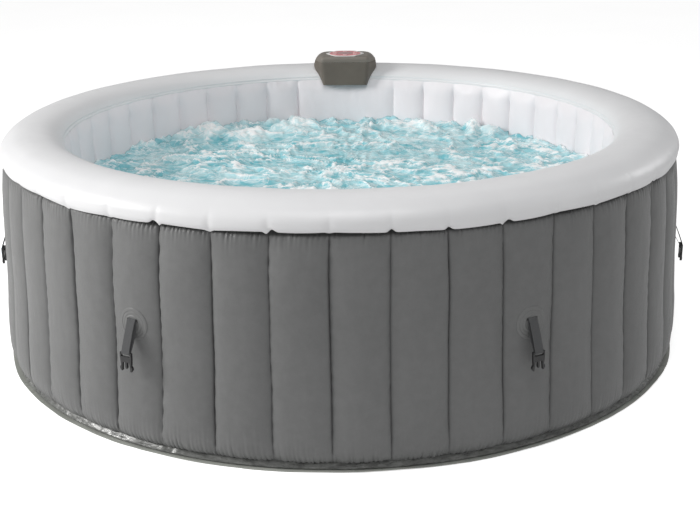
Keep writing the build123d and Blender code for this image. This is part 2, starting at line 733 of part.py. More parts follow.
with BuildPart() as blower_fan:
    with BuildSketch(Plane.XZ.offset(-914)):
        with Locations((BLOW_X, BLOW_Z)):
            Circle(38)
    extrude(amount=-2.5)
    with BuildSketch(Plane.XZ.offset(-890)):
        for i in range(18):
            t = math.radians(20 * i)
            with Locations(Location((BLOW_X + 32 * math.cos(t), BLOW_Z + 32 * math.sin(t)), 20 * i + 40)):
                Rectangle(13, 1.4)
    extrude(amount=-24.2)
    with BuildSketch(Plane.XZ.offset(-906)):
        with Locations((BLOW_X, BLOW_Z)):
            Circle(8)
    extrude(amount=-10)
    with BuildSketch(Plane.XZ.offset(-906)):
        with Locations((BLOW_X, BLOW_Z)):
            Circle(3)
    extrude(amount=-50)
blower_fan.part.label = "blower_fan"
export_step(blower_fan.part, "parts/blower_fan.step")

with BuildPart() as air_pipe:
    with BuildLine():
        FilletPolyline((AIR_X, AIR_Y, 345), (AIR_X, AIR_Y, AIR_Z), (AIR_X, 803.5, AIR_Z), radius=40)
    with BuildSketch(Plane.XY.offset(345)):
        with Locations((AIR_X, AIR_Y)):
            Circle(13)
            Circle(10, mode=Mode.SUBTRACT)
    sweep()
air_pipe.part.label = "air_pipe"
export_step(air_pipe.part, "parts/air_pipe.step")

BOARD_Y = 985.0
with BuildPart() as control_board:
    with BuildSketch(Plane.XZ.offset(-BOARD_Y)):
        with Locations((60, 443)):
            Rectangle(98, 54)
    extrude(amount=-1.6)
    with BuildSketch(Plane.XZ.offset(-BOARD_Y)):
        with Locations((30, 440)):
            Rectangle(14, 12)
        with Locations((54, 450)):
            Rectangle(20, 26)
        with Locations((80, 436)):
            Rectangle(16, 16)
        with Locations((98, 452)):
            Rectangle(14, 24)
    extrude(amount=16)
    with BuildSketch(Plane.XZ.offset(-(BOARD_Y + 1.6))):
        with Locations((24, 467), (96, 467)):
            Rectangle(12, 20)
    extrude(amount=-3)
    with BuildSketch(Plane.XZ.offset(-(BOARD_Y + 1.6))):
        with Locations((24, 475.5), (96, 475.5)):
            Rectangle(12, 3)
    extrude(amount=-12)
control_board.part.label = "control_board"
export_step(control_board.part, "parts/control_board.step")

with BuildPart() as signal_cable:
    with BuildLine():
        FilletPolyline((30, BOARD_Y - 16, 440), (30, 870, 440), (30, 870, 694), radius=36)
    with BuildSketch(Plane.XZ.offset(-(BOARD_Y - 16))):
        with Locations((30, 440)):
            Circle(3)
    sweep()
signal_cable.part.label = "signal_cable"
export_step(signal_cable.part, "parts/signal_cable.step")

# ---------------------------------------------------------------- water-side fittings
with BuildPart() as filter_seat:
    with BuildSketch(Plane.XZ.offset(-797)):
        with Locations((PUMP_X, PUMP_Z)):
            Circle(62)
    extrude(amount=-12)
    with BuildSketch(Plane.XZ):
        with BuildLine():
            Polyline(*inside_cut(0.05), close=True)
        make_face()
    revolve(axis=Axis.Z, mode=Mode.SUBTRACT)
    with BuildSketch(Plane.XZ.offset(-788)):
        with Locations((PUMP_X, PUMP_Z)):
            Circle(24)
            Circle(21, mode=Mode.SUBTRACT)
    extrude(amount=-9.5)
    with BuildSketch(Plane.XZ.offset(-798)):
        with Locations((PUMP_X, PUMP_Z)):
            Circle(14)
    extrude(amount=-39.9)
    with BuildSketch(Plane.XZ.offset(-796)):
        with Locations((PUMP_X, PUMP_Z)):
            Circle(11)
    extrude(amount=-50, mode=Mode.SUBTRACT)
filter_seat.part.label = "filter_seat"
export_step(filter_seat.part, "parts/filter_seat.step")

with BuildPart() as filter_cartridge:
    with BuildSketch(Plane.XZ.offset(-704)):
        with BuildLine():
            Polyline(*[((52 if i % 2 else 44) * math.cos(math.radians(5 * i)), PUMP_Z + (52 if i % 2 else 44) * math.sin(math.radians(5 * i))) for i in range(72)], close=True)
        make_face()
        with Locations((PUMP_X, PUMP_Z)):
            Circle(24.3, mode=Mode.SUBTRACT)
    extrude(amount=-91)
filter_cartridge.part.label = "filter_cartridge"
export_step(filter_cartridge.part, "parts/filter_cartridge.step")

with BuildPart() as filter_cover:
    with BuildSketch(Plane.XZ.offset(-696)):
        with Locations((PUMP_X, PUMP_Z)):
            Circle(60)
    extrude(amount=-100.6)
    with BuildSketch(Plane.XZ.offset(-700)):
        with Locations((PUMP_X, PUMP_Z)):
            Circle(56)
    extrude(amount=-100, mode=Mode.SUBTRACT)
    with BuildSketch(Plane.XZ.offset(-690)):
        for i in range(12):
            t = math.radians(30 * i)
            with Locations(Location((PUMP_X + 34 * math.cos(t), PUMP_Z + 34 * math.sin(t)), 30 * i)):
                SlotOverall(28, 5)
    extrude(amount=-14, mode=Mode.SUBTRACT)
    fillet(filter_cover.edges().group_by(Axis.Y)[0].sort_by(SortBy.LENGTH)[-1], radius=3)
filter_cover.part.label = "filter_cover"
export_step(filter_cover.part, "parts/filter_cover.step")

with BuildPart() as return_nozzle:
    with BuildSketch(Plane.XZ.offset(-790)):
        with Locations((RETURN_X, RETURN_Z)):
            Circle(26)
    extrude(amount=-14)
    with BuildSketch(Plane.XZ):
        with BuildLine():
            Polyline(*inside_cut(0.05), close=True)
        make_face()
    revolve(axis=Axis.Z, mode=Mode.SUBTRACT)
    with BuildSketch(Plane.XZ.offset(-791)):
        with Locations((RETURN_X, RETURN_Z)):
            Circle(12)
    extrude(amount=-41, )
    with BuildSketch(Plane.XZ.offset(-780)):
        with Locations((RETURN_X, RETURN_Z)):
            Circle(9)
    extrude(amount=-60, mode=Mode.SUBTRACT)
return_nozzle.part.label = "return_nozzle"
export_step(return_nozzle.part, "parts/return_nozzle.step")

# ---------------------------------------------------------------- inflation valve
VALVE_R = radius_at(WALL_OUT, VALVE_Z)
with BuildPart() as inflation_valve:
    with BuildSketch(out_plane(VALVE_A, VALVE_R - 8, VALVE_Z)):
        Circle(31)
    extrude(amount=12)
    with BuildSketch(Plane.XZ):
        with BuildLine():
            Polyline(*outside_cut(0.05), close=True)
        make_face()
    revolve(axis=Axis.Z, mode=Mode.SUBTRACT)
    with BuildSketch(out_plane(VALVE_A, VALVE_R - 30, VALVE_Z)):
        Circle(17)
    extrude(amount=34)
    with BuildSketch(out_plane(VALVE_A, VALVE_R - 27, VALVE_Z)):
        Circle(13)
    extrude(amount=40, mode=Mode.SUBTRACT)
    with BuildSketch(out_plane(VALVE_A, VALVE_R - 34, VALVE_Z)):
        Circle(4.06)
        with PolarLocations(8.6, 4):
            Circle(2.6)
    extrude(amount=10, mode=Mode.SUBTRACT)
inflation_valve.part.label = "inflation_valve"
export_step(inflation_valve.part, "parts/inflation_valve.step")

with BuildPart() as valve_core:
    with BuildSketch(out_plane(VALVE_A, VALVE_R - 33, VALVE_Z)):
        Circle(13)
    extrude(amount=2.9)
    with BuildSketch(out_plane(VALVE_A, VALVE_R - 32, VALVE_Z)):
        Circle(4)
    extrude(amount=20)
    with BuildSketch(out_plane(VALVE_A, VALVE_R - 14, VALVE_Z)):
        Circle(6.5)
    extrude(amount=3)
valve_core.part.label = "valve_core"
export_step(valve_core.part, "parts/valve_core.step")

with BuildPart() as valve_cap:
    with BuildSketch(out_plane(VALVE_A, VALVE_R + 4.2, VALVE_Z)):
        Circle(22)
        with PolarLocations(22, 16):
            Circle(1.6, mode=Mode.SUBTRACT)
    extrude(amount=9)
    with BuildSketch(out_plane(VALVE_A, VALVE_R - 5, VALVE_Z)):
        Circle(12.6)
    extrude(amount=10)
    with BuildSketch(out_plane(VALVE_A, VALVE_R - 6, VALVE_Z)):
        Circle(9.5)
    extrude(amount=9, mode=Mode.SUBTRACT)
valve_cap.part.label = "valve_cap"
export_step(valve_cap.part, "parts/valve_cap.step")

# ---------------------------------------------------------------- drain through both walls
DRAIN_RO, DRAIN_RI = radius_at(WALL_OUT, DRAIN_Z), radius_at(WALL_IN, DRAIN_Z)
with BuildPart() as drain_inner_flange:
    with BuildSketch(out_plane(DRAIN_A, DRAIN_RI - 5, DRAIN_Z)):
        Circle(25)
    extrude(amount=12)
    with BuildSketch(Plane.XZ):
        with BuildLine():
            Polyline(*inside_cut(0.05), close=True)
        make_face()
    revolve(axis=Axis.Z, mode=Mode.SUBTRACT)
with BuildPart() as drain_fitting:
    with BuildSketch(out_plane(DRAIN_A, DRAIN_RO - 8, DRAIN_Z)):
        Circle(30)
    extrude(amount=11)
    with BuildSketch(Plane.XZ):
        with BuildLine():
            Polyline(*outside_cut(0.05), close=True)
        make_face()
    revolve(axis=Axis.Z, mode=Mode.SUBTRACT)
    add(drain_inner_flange.part)
    with BuildSketch(out_plane(DRAIN_A, DRAIN_RI - 4, DRAIN_Z)):
        Circle(15)
    extrude(amount=DRAIN_RO - DRAIN_RI + 6)
    with BuildSketch(out_plane(DRAIN_A, DRAIN_RO, DRAIN_Z)):
        Circle(13.2)
    extrude(amount=20)
    with BuildSketch(out_plane(DRAIN_A, DRAIN_RI - 20, DRAIN_Z)):
        Circle(11)
    extrude(amount=300, mode=Mode.SUBTRACT)
drain_fitting.part.label = "drain_fitting"
export_step(drain_fitting.part, "parts/drain_fitting.step")

with BuildPart() as drain_plug:
    with BuildSketch(out_plane(DRAIN_A, DRAIN_RI - 5.2, DRAIN_Z)):
        Circle(10.94)
    extrude(amount=22)
    with BuildSketch(out_plane(DRAIN_A, DRAIN_RI - 8.4, DRAIN_Z)):
        Circle(17)
    extrude(amount=3.2)
    with BuildSketch(out_plane(DRAIN_A, DRAIN_RI - 20, DRAIN_Z)):
        RectangleRounded(18, 4, 1.9)
    extrude(amount=12)
drain_plug.part.label = "drain_plug"
export_step(drain_plug.part, "parts/drain_plug.step")
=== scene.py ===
import bpy
import math
import numpy as np
from mathutils import Matrix, Vector


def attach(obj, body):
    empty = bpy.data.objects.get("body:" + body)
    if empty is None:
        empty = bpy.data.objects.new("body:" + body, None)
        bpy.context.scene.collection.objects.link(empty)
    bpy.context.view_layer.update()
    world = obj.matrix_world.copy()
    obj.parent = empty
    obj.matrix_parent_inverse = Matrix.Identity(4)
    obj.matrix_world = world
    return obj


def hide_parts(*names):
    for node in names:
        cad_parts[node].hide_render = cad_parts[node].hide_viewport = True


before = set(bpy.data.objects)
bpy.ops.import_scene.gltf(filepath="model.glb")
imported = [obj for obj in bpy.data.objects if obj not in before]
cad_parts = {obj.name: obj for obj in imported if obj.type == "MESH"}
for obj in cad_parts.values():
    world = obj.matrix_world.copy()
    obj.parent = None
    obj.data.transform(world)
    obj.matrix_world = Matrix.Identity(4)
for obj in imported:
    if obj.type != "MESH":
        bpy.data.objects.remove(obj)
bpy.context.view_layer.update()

PANELS = 44
PITCH = 2 * math.pi / PANELS
WALL_OUT = [(1.0, .010), (1.006, .016), (1.016, .024), (1.026, .045), (1.030, .080), (1.029, .140), (1.0245, .200), (1.019, .300),
            (1.0165, .400), (1.0122, .500), (1.0072, .550), (1.0030, .582), (1.0000, .5935), (.9945, .5990), (.9915, .6040), (.9900, .622)]
RIM = [(1.0040, .6030), (1.0078, .6105), (1.0086, .622), (1.0058, .634), (.9960, .6480), (.980, .660), (.960, .6705), (.935, .6765), (.907, .678),
       (.880, .6755), (.857, .669), (.839, .6585), (.828, .6455), (.8225, .6315)]
WALL_IN = [(.8215, .6325), (.8165, .618), (.811, .598), (.807, .560), (.805, .500), (.805, .440), (.805, .300), (.806, .150), (.809, .060), (.812, .0025)]
BAY_X, BAY_Z0, BAY_Z1 = .120, .130, .480
HUB_R, SLOT_Z, PATCH_Z = 1.0207, .352, .340
LEAN, STRAP_LEN = math.radians(22), .084
STRAPS = {"front_left": -3.5, "front_right": 3.5, "right": 10.5, "rear_right": 17.5, "rear_left": -17.5, "left": -10.5}


# ------------------------------------------------------------------ noise
_LAT = {}


def lattice(seed):
    if seed not in _LAT:
        _LAT[seed] = (np.random.default_rng(1000 + seed).random((32, 32, 32)) * 2 - 1)
    return _LAT[seed]


def vnoise(p, seed=0):
    p = np.asarray(p, float)
    i = np.floor(p).astype(np.int64)
    f = p - i
    f = f * f * f * (f * (f * 6 - 15) + 10)
    a, b = i & 31, (i + 1) & 31
    L = lattice(seed)
    fx, fy, fz = f[..., 0], f[..., 1], f[..., 2]
    x0 = L[a[..., 0], a[..., 1], a[..., 2]] * (1 - fx) + L[b[..., 0], a[..., 1], a[..., 2]] * fx
    x1 = L[a[..., 0], b[..., 1], a[..., 2]] * (1 - fx) + L[b[..., 0], b[..., 1], a[..., 2]] * fx
    x2 = L[a[..., 0], a[..., 1], b[..., 2]] * (1 - fx) + L[b[..., 0], a[..., 1], b[..., 2]] * fx
    x3 = L[a[..., 0], b[..., 1], b[..., 2]] * (1 - fx) + L[b[..., 0], b[..., 1], b[..., 2]] * fx
    return (x0 * (1 - fy) + x1 * fy) * (1 - fz) + (x2 * (1 - fy) + x3 * fy) * fz


def fbm(p, octaves=4, seed=0, gain=.5):
    total, amp, norm = 0, 1.0, 0
    p = np.asarray(p, float)
    for o in range(octaves):
        total = total + amp * vnoise(p * (2.03 ** o) + 7.3 * o, seed + o)
        norm += amp
        amp *= gain
    return total / norm


def step(x, lo, hi):
    t = np.clip((np.asarray(x, float) - lo) / (hi - lo), 0, 1)
    return t * t * (3 - 2 * t)


# ------------------------------------------------------------------ mesh helpers
def spline(points, n=400):
    """Smooth line through points, evenly spaced along its length."""
    P = np.array(points, float)
    P = np.vstack([2 * P[0] - P[1], P, 2 * P[-1] - P[-2]])
    out = []
    for k in range(1, len(P) - 2):
        p0, p1, p2, p3 = P[k - 1], P[k], P[k + 1], P[k + 2]
        d0, d1, d2 = (max(np.linalg.norm(b - a), 1e-9) ** .5 for a, b in ((p0, p1), (p1, p2), (p2, p3)))
        m1 = (p1 - p0) / d0 - (p2 - p0) / (d0 + d1) + (p2 - p1) / d1
        m2 = (p2 - p1) / d1 - (p3 - p1) / (d1 + d2) + (p3 - p2) / d2
        t = np.linspace(0, 1, 60, endpoint=False)[:, None]
        m1, m2 = m1 * d1, m2 * d1
        out.append((2 * t ** 3 - 3 * t ** 2 + 1) * p1 + (t ** 3 - 2 * t ** 2 + t) * m1 + (-2 * t ** 3 + 3 * t ** 2) * p2 + (t ** 3 - t ** 2) * m2)
    D = np.vstack(out + [P[-2][None]])
    s = np.concatenate([[0], np.cumsum(np.linalg.norm(np.diff(D, axis=0), axis=1))])
    q = np.linspace(0, s[-1], n)
    return np.stack([np.interp(q, s, D[:, c]) for c in range(D.shape[1])], -1), q


def at(a, r, z):
    return np.stack([r * np.sin(a), -r * np.cos(a), z + 0 * r + 0 * a], -1)


def build(name, V, faces, body, mat, slot=None, replaces=(), sharp=40, uv=None, colour=None):
    """faces is a list of arrays of face corners, each array with its own corner count."""
    V = np.asarray(V, np.float32).reshape(-1, 3)
    me = bpy.data.meshes.new(name)
    me.vertices.add(len(V))
    me.vertices.foreach_set("co", V.ravel())
    loops = np.concatenate([np.asarray(f, np.int32).ravel() for f in faces])
    sizes = np.concatenate([np.full(len(f), np.asarray(f).shape[1], np.int32) for f in faces])
    me.loops.add(len(loops))
    me.loops.foreach_set("vertex_index", loops)
    me.polygons.add(len(sizes))
    me.polygons.foreach_set("loop_start", np.concatenate([[0], np.cumsum(sizes)[:-1]]).astype(np.int32))
    me.update(calc_edges=True)
    me.validate()
    me.polygons.foreach_set("use_smooth", np.ones(len(me.polygons), bool))
    if sharp:
        me.set_sharp_from_angle(angle=math.radians(sharp))
    if uv is not None:
        layer = me.uv_layers.new(name="UVMap")
        idx = np.zeros(len(me.loops), np.int32)
        me.loops.foreach_get("vertex_index", idx)
        layer.data.foreach_set("uv", np.asarray(uv, np.float32).reshape(-1, 2)[idx].ravel())
    for key, value in (colour or {}).items():
        at_ = me.attributes.new(key, "FLOAT", "POINT")
        at_.data.foreach_set("value", np.asarray(value, np.float32).ravel())
    me.materials.append(mat)
    o = bpy.data.objects.new(name, me)
    bpy.context.scene.collection.objects.link(o)
    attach(o, body)
    if replaces:
        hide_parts(*replaces)
    return o


def grid_faces(n, m, wrap=True, keep=None):
    i = np.arange(n if wrap else n - 1)
    j = np.arange(m - 1)
    I, J = np.meshgrid(i, j, indexing="ij")
    I2 = (I + 1) % n
    F = np.stack([I * m + J, I2 * m + J, I2 * m + J + 1, I * m + J + 1], -1)
    if keep is not None:
        F = F[keep]
    return F.reshape(-1, 4)


def normals(P, wrap=True):
    di = (np.roll(P, -1, 0) - np.roll(P, 1, 0)) if wrap else np.gradient(P, axis=0)
    dj = np.gradient(P, axis=1)
    n = np.cross(di, dj)
    return n / np.maximum(np.linalg.norm(n, axis=-1, keepdims=True), 1e-12)


def shell(name, P, t, body, mat, keep=None, wrap=True, Q=None, **kw):
    """Closed sheet of thickness t whose outer face is the grid P (columns, rows)."""
    n, m, _ = P.shape
    if Q is None:
        Q = P - normals(P, wrap) * t
    F = grid_faces(n, m, wrap, keep)
    N = n * m
    E = np.concatenate([F[:, [k, (k + 1) % 4]] for k in range(4)])
    key, back = E[:, 0].astype(np.int64) * N + E[:, 1], E[:, 1].astype(np.int64) * N + E[:, 0]
    edge = E[~np.isin(key, back)]
    sides = np.stack([edge[:, 1], edge[:, 0], edge[:, 0] + N, edge[:, 1] + N], -1)
    used = np.unique(F)
    remap = np.full(2 * N, -1)
    both = np.concatenate([used, used + N])
    remap[both] = np.arange(len(both))
    V = np.concatenate([P.reshape(-1, 3), Q.reshape(-1, 3)])[both]
    F2 = F[:, ::-1] + N
    if "uv" in kw and kw["uv"] is not None:
        u = kw["uv"].reshape(-1, 2)
        kw["uv"] = np.concatenate([u, u])[both]
    if kw.get("colour"):
        kw["colour"] = {k: np.concatenate([v.ravel(), v.ravel()])[both] for k, v in kw["colour"].items()}
    return build(name, V, [remap[np.concatenate([F, F2, sides])]], body, mat, **kw)


# ------------------------------------------------------------------ materials
class Mat:
    """Small helper round a node tree with one Principled shader."""

    def __init__(self, name, **sockets):
        self.m = bpy.data.materials.new(name)
        self.m.use_nodes = True
        self.t = self.m.node_tree
        self.b = next(n for n in self.t.nodes if n.type == "BSDF_PRINCIPLED")
        for k, v in sockets.items():
            s = self.b.inputs[k.replace("_", " ")]
            s.default_value = (*v, 1) if isinstance(v, tuple) and len(v) == 3 else v
        self.coord = self.t.nodes.new("ShaderNodeTexCoord")

    def node(self, kind, **props):
        n = self.t.nodes.new(kind)
        for k, v in props.items():
            if k.startswith("in_"):
                n.inputs[k[3:].replace("_", " ")].default_value = v
            else:
                setattr(n, k, v)
        return n

    def link(self, a, b):
        self.t.links.new(a, b)

    def mapped(self, scale=(1, 1, 1), space="Object"):
        n = self.node("ShaderNodeMapping")
        n.inputs["Scale"].default_value = scale
        self.link(self.coord.outputs[space], n.inputs["Vector"])
        return n.outputs["Vector"]

    def noise(self, scale, detail=3.0, rough=.5, vector=None, distortion=0.0):
        n = self.node("ShaderNodeTexNoise")
        n.inputs["Scale"].default_value = scale
        n.inputs["Detail"].default_value = detail
        n.inputs["Roughness"].default_value = rough
        n.inputs["Distortion"].default_value = distortion
        self.link(vector or self.coord.outputs["Object"], n.inputs["Vector"])
        return n.outputs["Fac"]

    def voronoi(self, scale, feature="F1", vector=None, randomness=1.0):
        n = self.node("ShaderNodeTexVoronoi", feature=feature)
        n.inputs["Scale"].default_value = scale
        n.inputs["Randomness"].default_value = randomness
        self.link(vector or self.coord.outputs["Object"], n.inputs["Vector"])
        return n.outputs["Distance"]

    def ramp(self, fac, lo, hi, a=(0, 0, 0), b=(1, 1, 1), socket=None):
        n = self.node("ShaderNodeValToRGB")
        n.color_ramp.elements[0].position, n.color_ramp.elements[1].position = lo, hi
        n.color_ramp.elements[0].color, n.color_ramp.elements[1].color = (*a, 1), (*b, 1)
        self.link(fac, n.inputs["Fac"])
        if socket:
            self.link(n.outputs["Color"], self.b.inputs[socket])
        return n.outputs["Color"]

    def range(self, fac, lo, hi, a, b, socket=None):
        n = self.node("ShaderNodeMapRange")
        for k, v in (("From Min", lo), ("From Max", hi), ("To Min", a), ("To Max", b)):
            n.inputs[k].default_value = v
        self.link(fac, n.inputs["Value"])
        if socket:
            self.link(n.outputs["Result"], self.b.inputs[socket])
        return n.outputs["Result"]

    def math(self, op, a, b):
        n = self.node("ShaderNodeMath", operation=op)
        for k, v in enumerate((a, b)):
            if isinstance(v, (int, float)):
                n.inputs[k].default_value = v
            else:
                self.link(v, n.inputs[k])
        return n.outputs["Value"]

    def mix(self, fac, a, b, socket=None):
        n = self.node("ShaderNodeMix", data_type="RGBA")
        for k, v in ((0, fac), (6, a), (7, b)):
            if isinstance(v, tuple):
                n.inputs[k].default_value = (*v, 1)
            elif isinstance(v, (int, float)):
                n.inputs[k].default_value = v
            else:
                self.link(v, n.inputs[k])
        if socket:
            self.link(n.outputs[2], self.b.inputs[socket])
        return n.outputs[2]

    def bump(self, *layers):
        """Each layer is (height, distance in metres, strength)."""
        last = None
        for height, distance, strength in layers:
            n = self.node("ShaderNodeBump")
            n.inputs["Distance"].default_value = distance
            n.inputs["Strength"].default_value = strength
            self.link(height, n.inputs["Height"])
            if last:
                self.link(last, n.inputs["Normal"])
            last = n.outputs["Normal"]
        self.link(last, self.b.inputs["Normal"])
        return self

    def attribute(self, name):
        n = self.node("ShaderNodeAttribute", attribute_name=name)
        return n.outputs["Fac"]


def tone(c, k):
    return tuple(min(1.0, x * k) for x in c)


def plastic(name, colour, rough=.42, grain=900.0, depth=.00008, vary=.07, **kw):
    m = Mat(name, **kw)
    n = m.noise(22, 4)
    m.ramp(n, .3, .7, tone(colour, 1 - vary), tone(colour, 1 + vary), "Base Color")
    fine = m.noise(grain, 2)
    m.range(m.noise(60, 3), .3, .7, rough - .05, rough + .06, "Roughness")
    m.bump((fine, depth, .5))
    return m.m


def leatherette():
    m = Mat("leatherette_grey", Specular_IOR_Level=.42, Sheen_Weight=.10, Sheen_Roughness=.5)
    big, mid, fine = m.noise(3.2, 3), m.noise(38, 4, .6), m.noise(420, 2)
    cells = m.voronoi(520, "DISTANCE_TO_EDGE")
    base = m.ramp(big, .3, .7, (.141, .143, .143), (.170, .172, .172))
    mottle = m.ramp(mid, .35, .68, (.139, .141, .141), (.178, .180, .180))
    tint = m.mix(.45, base, mottle)
    grooves = m.range(cells, 0, .12, 1.0, 0.0)
    fac = m.math("MULTIPLY", grooves, .22)
    skin_ = m.mix(fac, tint, (.085, .086, .084))
    # Darkens the base colour by the "weld" attribute: dark weld lines, plus painted shade in the seam creases, a
    # painted shadow under the rim edge and along the foot.
    m.mix(m.math("MULTIPLY", m.attribute("weld"), .60), skin_, (.022, .023, .023), "Base Color")
    m.range(mid, .3, .7, .40, .52, "Roughness")
    h = m.math("ADD", m.range(cells, 0, .22, 0, 1), m.math("MULTIPLY", fine, .5))
    m.bump((h, .00022, .55), (mid, .0011, .32))
    return m.m


def vinyl(name, a, b, rough=.34, grain=700, wrinkle=.0008, spec=.45, **kw):
    m = Mat(name, Specular_IOR_Level=spec, **kw)
    n = m.noise(4.5, 4)
    m.ramp(n, .3, .7, a, b, "Base Color")
    m.range(m.noise(30, 3), .3, .7, rough - .05, rough + .07, "Roughness")
    m.bump((m.noise(grain, 2), .00009, .4), (m.noise(26, 5, .62), wrinkle, .22))
    return m.m


def webbing_mat(name="webbing_weave", dark=(.034, .035, .037), light=(.125, .127, .130)):
    m = Mat(name, Roughness=.82, Specular_IOR_Level=.25, Sheen_Weight=.25, Sheen_Roughness=.4)
    uv = m.mapped((1, 1, 1), "UV")
    sep = m.node("ShaderNodeSeparateXYZ")
    m.link(uv, sep.inputs["Vector"])
    # ribs along the tape and the pick of the weave across it
    u = m.math("SINE", m.math("MULTIPLY", sep.outputs["X"], 2 * math.pi / .0024), 0)
    v = m.math("SINE", m.math("MULTIPLY", sep.outputs["Y"], 2 * math.pi / .0019), 0)
    w = m.math("ADD", m.math("MULTIPLY", u, .6), m.math("MULTIPLY", m.math("MULTIPLY", u, v), .4))
    h = m.range(w, -1, 1, 0, 1)
    fuzz = m.noise(900, 3)
    hh = m.math("ADD", h, m.math("MULTIPLY", fuzz, .35))
    m.ramp(hh, .25, 1.1, dark, light, "Base Color")
    m.bump((hh, .0005, .8))
    return m.m


def metal(name, colour=(.62, .62, .64), rough=.3):
    m = Mat(name, Metallic=1.0)
    n = m.noise(300, 2, vector=m.mapped((1, 1, 14)))
    m.ramp(n, .3, .7, tone(colour, .86), tone(colour, 1.06), "Base Color")
    m.range(n, .3, .7, rough - .08, rough + .1, "Roughness")
    m.bump((n, .00005, .3))
    return m.m


def circuit():
    m = Mat("circuit_board", Roughness=.45)
    cells = m.voronoi(180, "F1", randomness=.6)
    m.ramp(cells, .12, .2, (.10, .085, .04), (.010, .085, .035), "Base Color")
    m.bump((cells, .0004, .6))
    return m.m


def pleated():
    m = Mat("filter_paper", Roughness=.9, Specular_IOR_Level=.1)
    w = m.node("ShaderNodeTexWave", wave_type="BANDS", bands_direction="X")
    w.inputs["Scale"].default_value = 60
    m.link(m.coord.outputs["Object"], w.inputs["Vector"])
    m.ramp(w.outputs["Fac"], 0, 1, (.55, .60, .66), (.86, .88, .90), "Base Color")
    m.bump((w.outputs["Fac"], .002, .8), (m.noise(500, 3), .0002, .5))
    return m.m


def foot_mat():
    m = Mat("welded_flange", Specular_IOR_Level=.6)
    n = m.noise(34, 5, .62, vector=m.mapped((1, 1, 3)))
    m.ramp(n, .38, .72, (.085, .088, .084), (.24, .245, .235), "Base Color")
    glint = m.range(m.noise(90, 4, .6, vector=m.mapped((1, 1, 4))), .60, .68, 0, 1)
    m.range(glint, 0, 1, .30, .07, "Roughness")
    m.range(glint, 0, 1, 0, .55, "Metallic")
    m.bump((n, .0020, .6), (m.noise(260, 3), .0003, .5))
    return m.m


def water_mat():
    m = Mat("water_turquoise", IOR=1.33, Specular_IOR_Level=.55)
    foam, high = m.attribute("foam"), m.attribute("rise")
    n = m.noise(9, 5, .6, vector=m.mapped((1, 1.35, 1)), distortion=1.4)
    deep = m.mix(m.range(n, .36, .64, 0, 1), (.150, .500, .575), (.560, .790, .825))
    pale = m.mix(m.range(high, .45, 1.0, 0, .8), deep, (.66, .86, .89))
    lace = m.voronoi(30, "SMOOTH_F1", vector=m.mapped((1, 1.25, 1)))
    thread = m.range(m.math("ABSOLUTE", m.math("SUBTRACT", m.noise(8.5, 6, .60, vector=m.mapped((.75, 1.3, 1)), distortion=2.1), .5), 0), 0, .046, 1, 0)
    f = m.math("MULTIPLY", m.math("ADD", m.math("MULTIPLY", foam, 1.25), m.math("MULTIPLY", thread, m.range(foam, 0, .45, .55, .95))), 1.0)
    f2 = m.math("MINIMUM", m.math("MAXIMUM", m.math("SUBTRACT", f, m.math("MULTIPLY", lace, .16)), 0), 1)
    m.mix(f2, pale, (.955, .975, .98), "Base Color")
    m.range(f2, 0, 1, .07, .55, "Roughness")
    m.bump((m.noise(60, 5, .6, distortion=.8), .004, .5), (m.noise(240, 4, .6), .0012, .45))
    return m.m


def floor_mat():
    m = Mat("studio_floor", Roughness=.75, Specular_IOR_Level=.2)
    m.b.inputs["Emission Color"].default_value = (1, 1, 1, 1)
    path_ = m.node("ShaderNodeLightPath")
    m.range(path_.outputs["Is Camera Ray"], 0, 1, .10, .62, "Emission Strength")
    m.ramp(m.noise(1.5, 2), .3, .7, (.88, .88, .88), (.91, .91, .91), "Base Color")
    return m.m


LEATHER = leatherette()
RIMW = vinyl("rim_white_pvc", (.745, .747, .760), (.785, .787, .798), rough=.36, wrinkle=.0006)
LINER = vinyl("liner_white_pvc", (.825, .785, .805), (.870, .830, .850), rough=.40, wrinkle=.0008, spec=.3)
SHEETM = vinyl("ground_sheet_pvc", (.36, .372, .345), (.44, .452, .42), rough=.3, wrinkle=.0015)
WEBS = vinyl("web_film", (.60, .61, .62), (.68, .69, .70), rough=.45)
FOOT = foot_mat()
PATCH = vinyl("patch_grey_pvc", (.152, .154, .153), (.178, .180, .179), rough=.40, grain=900, wrinkle=.0003, spec=.4)
TAPE = webbing_mat()
BLACK = plastic("buckle_black_plastic", (.017, .017, .018), rough=.30, grain=1400, depth=.00005, Specular_IOR_Level=.55)
# The console plastic is one grey: the body gets a darker copy as painted shade and the top a lighter copy as painted
# light from above.
CONSOLE_SHADED = plastic("console_plastic_painted_shade", (.134, .115, .095), rough=.50, grain=1200, depth=.00012, Specular_IOR_Level=.4)
CONSOLE_LIT = plastic("console_plastic_painted_light", (.190, .170, .146), rough=.46, grain=1200, depth=.00012, Specular_IOR_Level=.4)
BEZEL = plastic("bezel_white_plastic", (.86, .86, .85), rough=.25, grain=1600, depth=.00003, vary=.02)
DIAL = plastic("dial_red_film", (.72, .135, .150), rough=.22, grain=1600, depth=.00003, vary=.12, Coat_Weight=.5, Coat_Roughness=.1)
GLASSY = plastic("display_smoked_film", (.40, .10, .105), rough=.12, grain=1600, depth=.00002, vary=.15, Coat_Weight=.6, Coat_Roughness=.05)
KEY = plastic("button_pale_plastic", (.72, .45, .45), rough=.3, grain=1400, depth=.00004, vary=.05)
STEEL = metal("stainless_steel")
BAY = plastic("bay_grey_plastic", (.115, .115, .112), rough=.52, grain=800, depth=.00020)
SEAL = plastic("seal_black_rubber", (.022, .022, .022), rough=.72, grain=500, depth=.0002)
PUMP = plastic("pump_black_plastic", (.035, .036, .040), rough=.45, grain=700, depth=.00016)
MOTOR = metal("motor_painted_metal", (.22, .23, .25), .42)
ROTOR = plastic("rotor_plastic", (.42, .42, .40), rough=.4)
HOSE = plastic("hose_grey_vinyl", (.30, .31, .32), rough=.4, grain=400, depth=.0002)
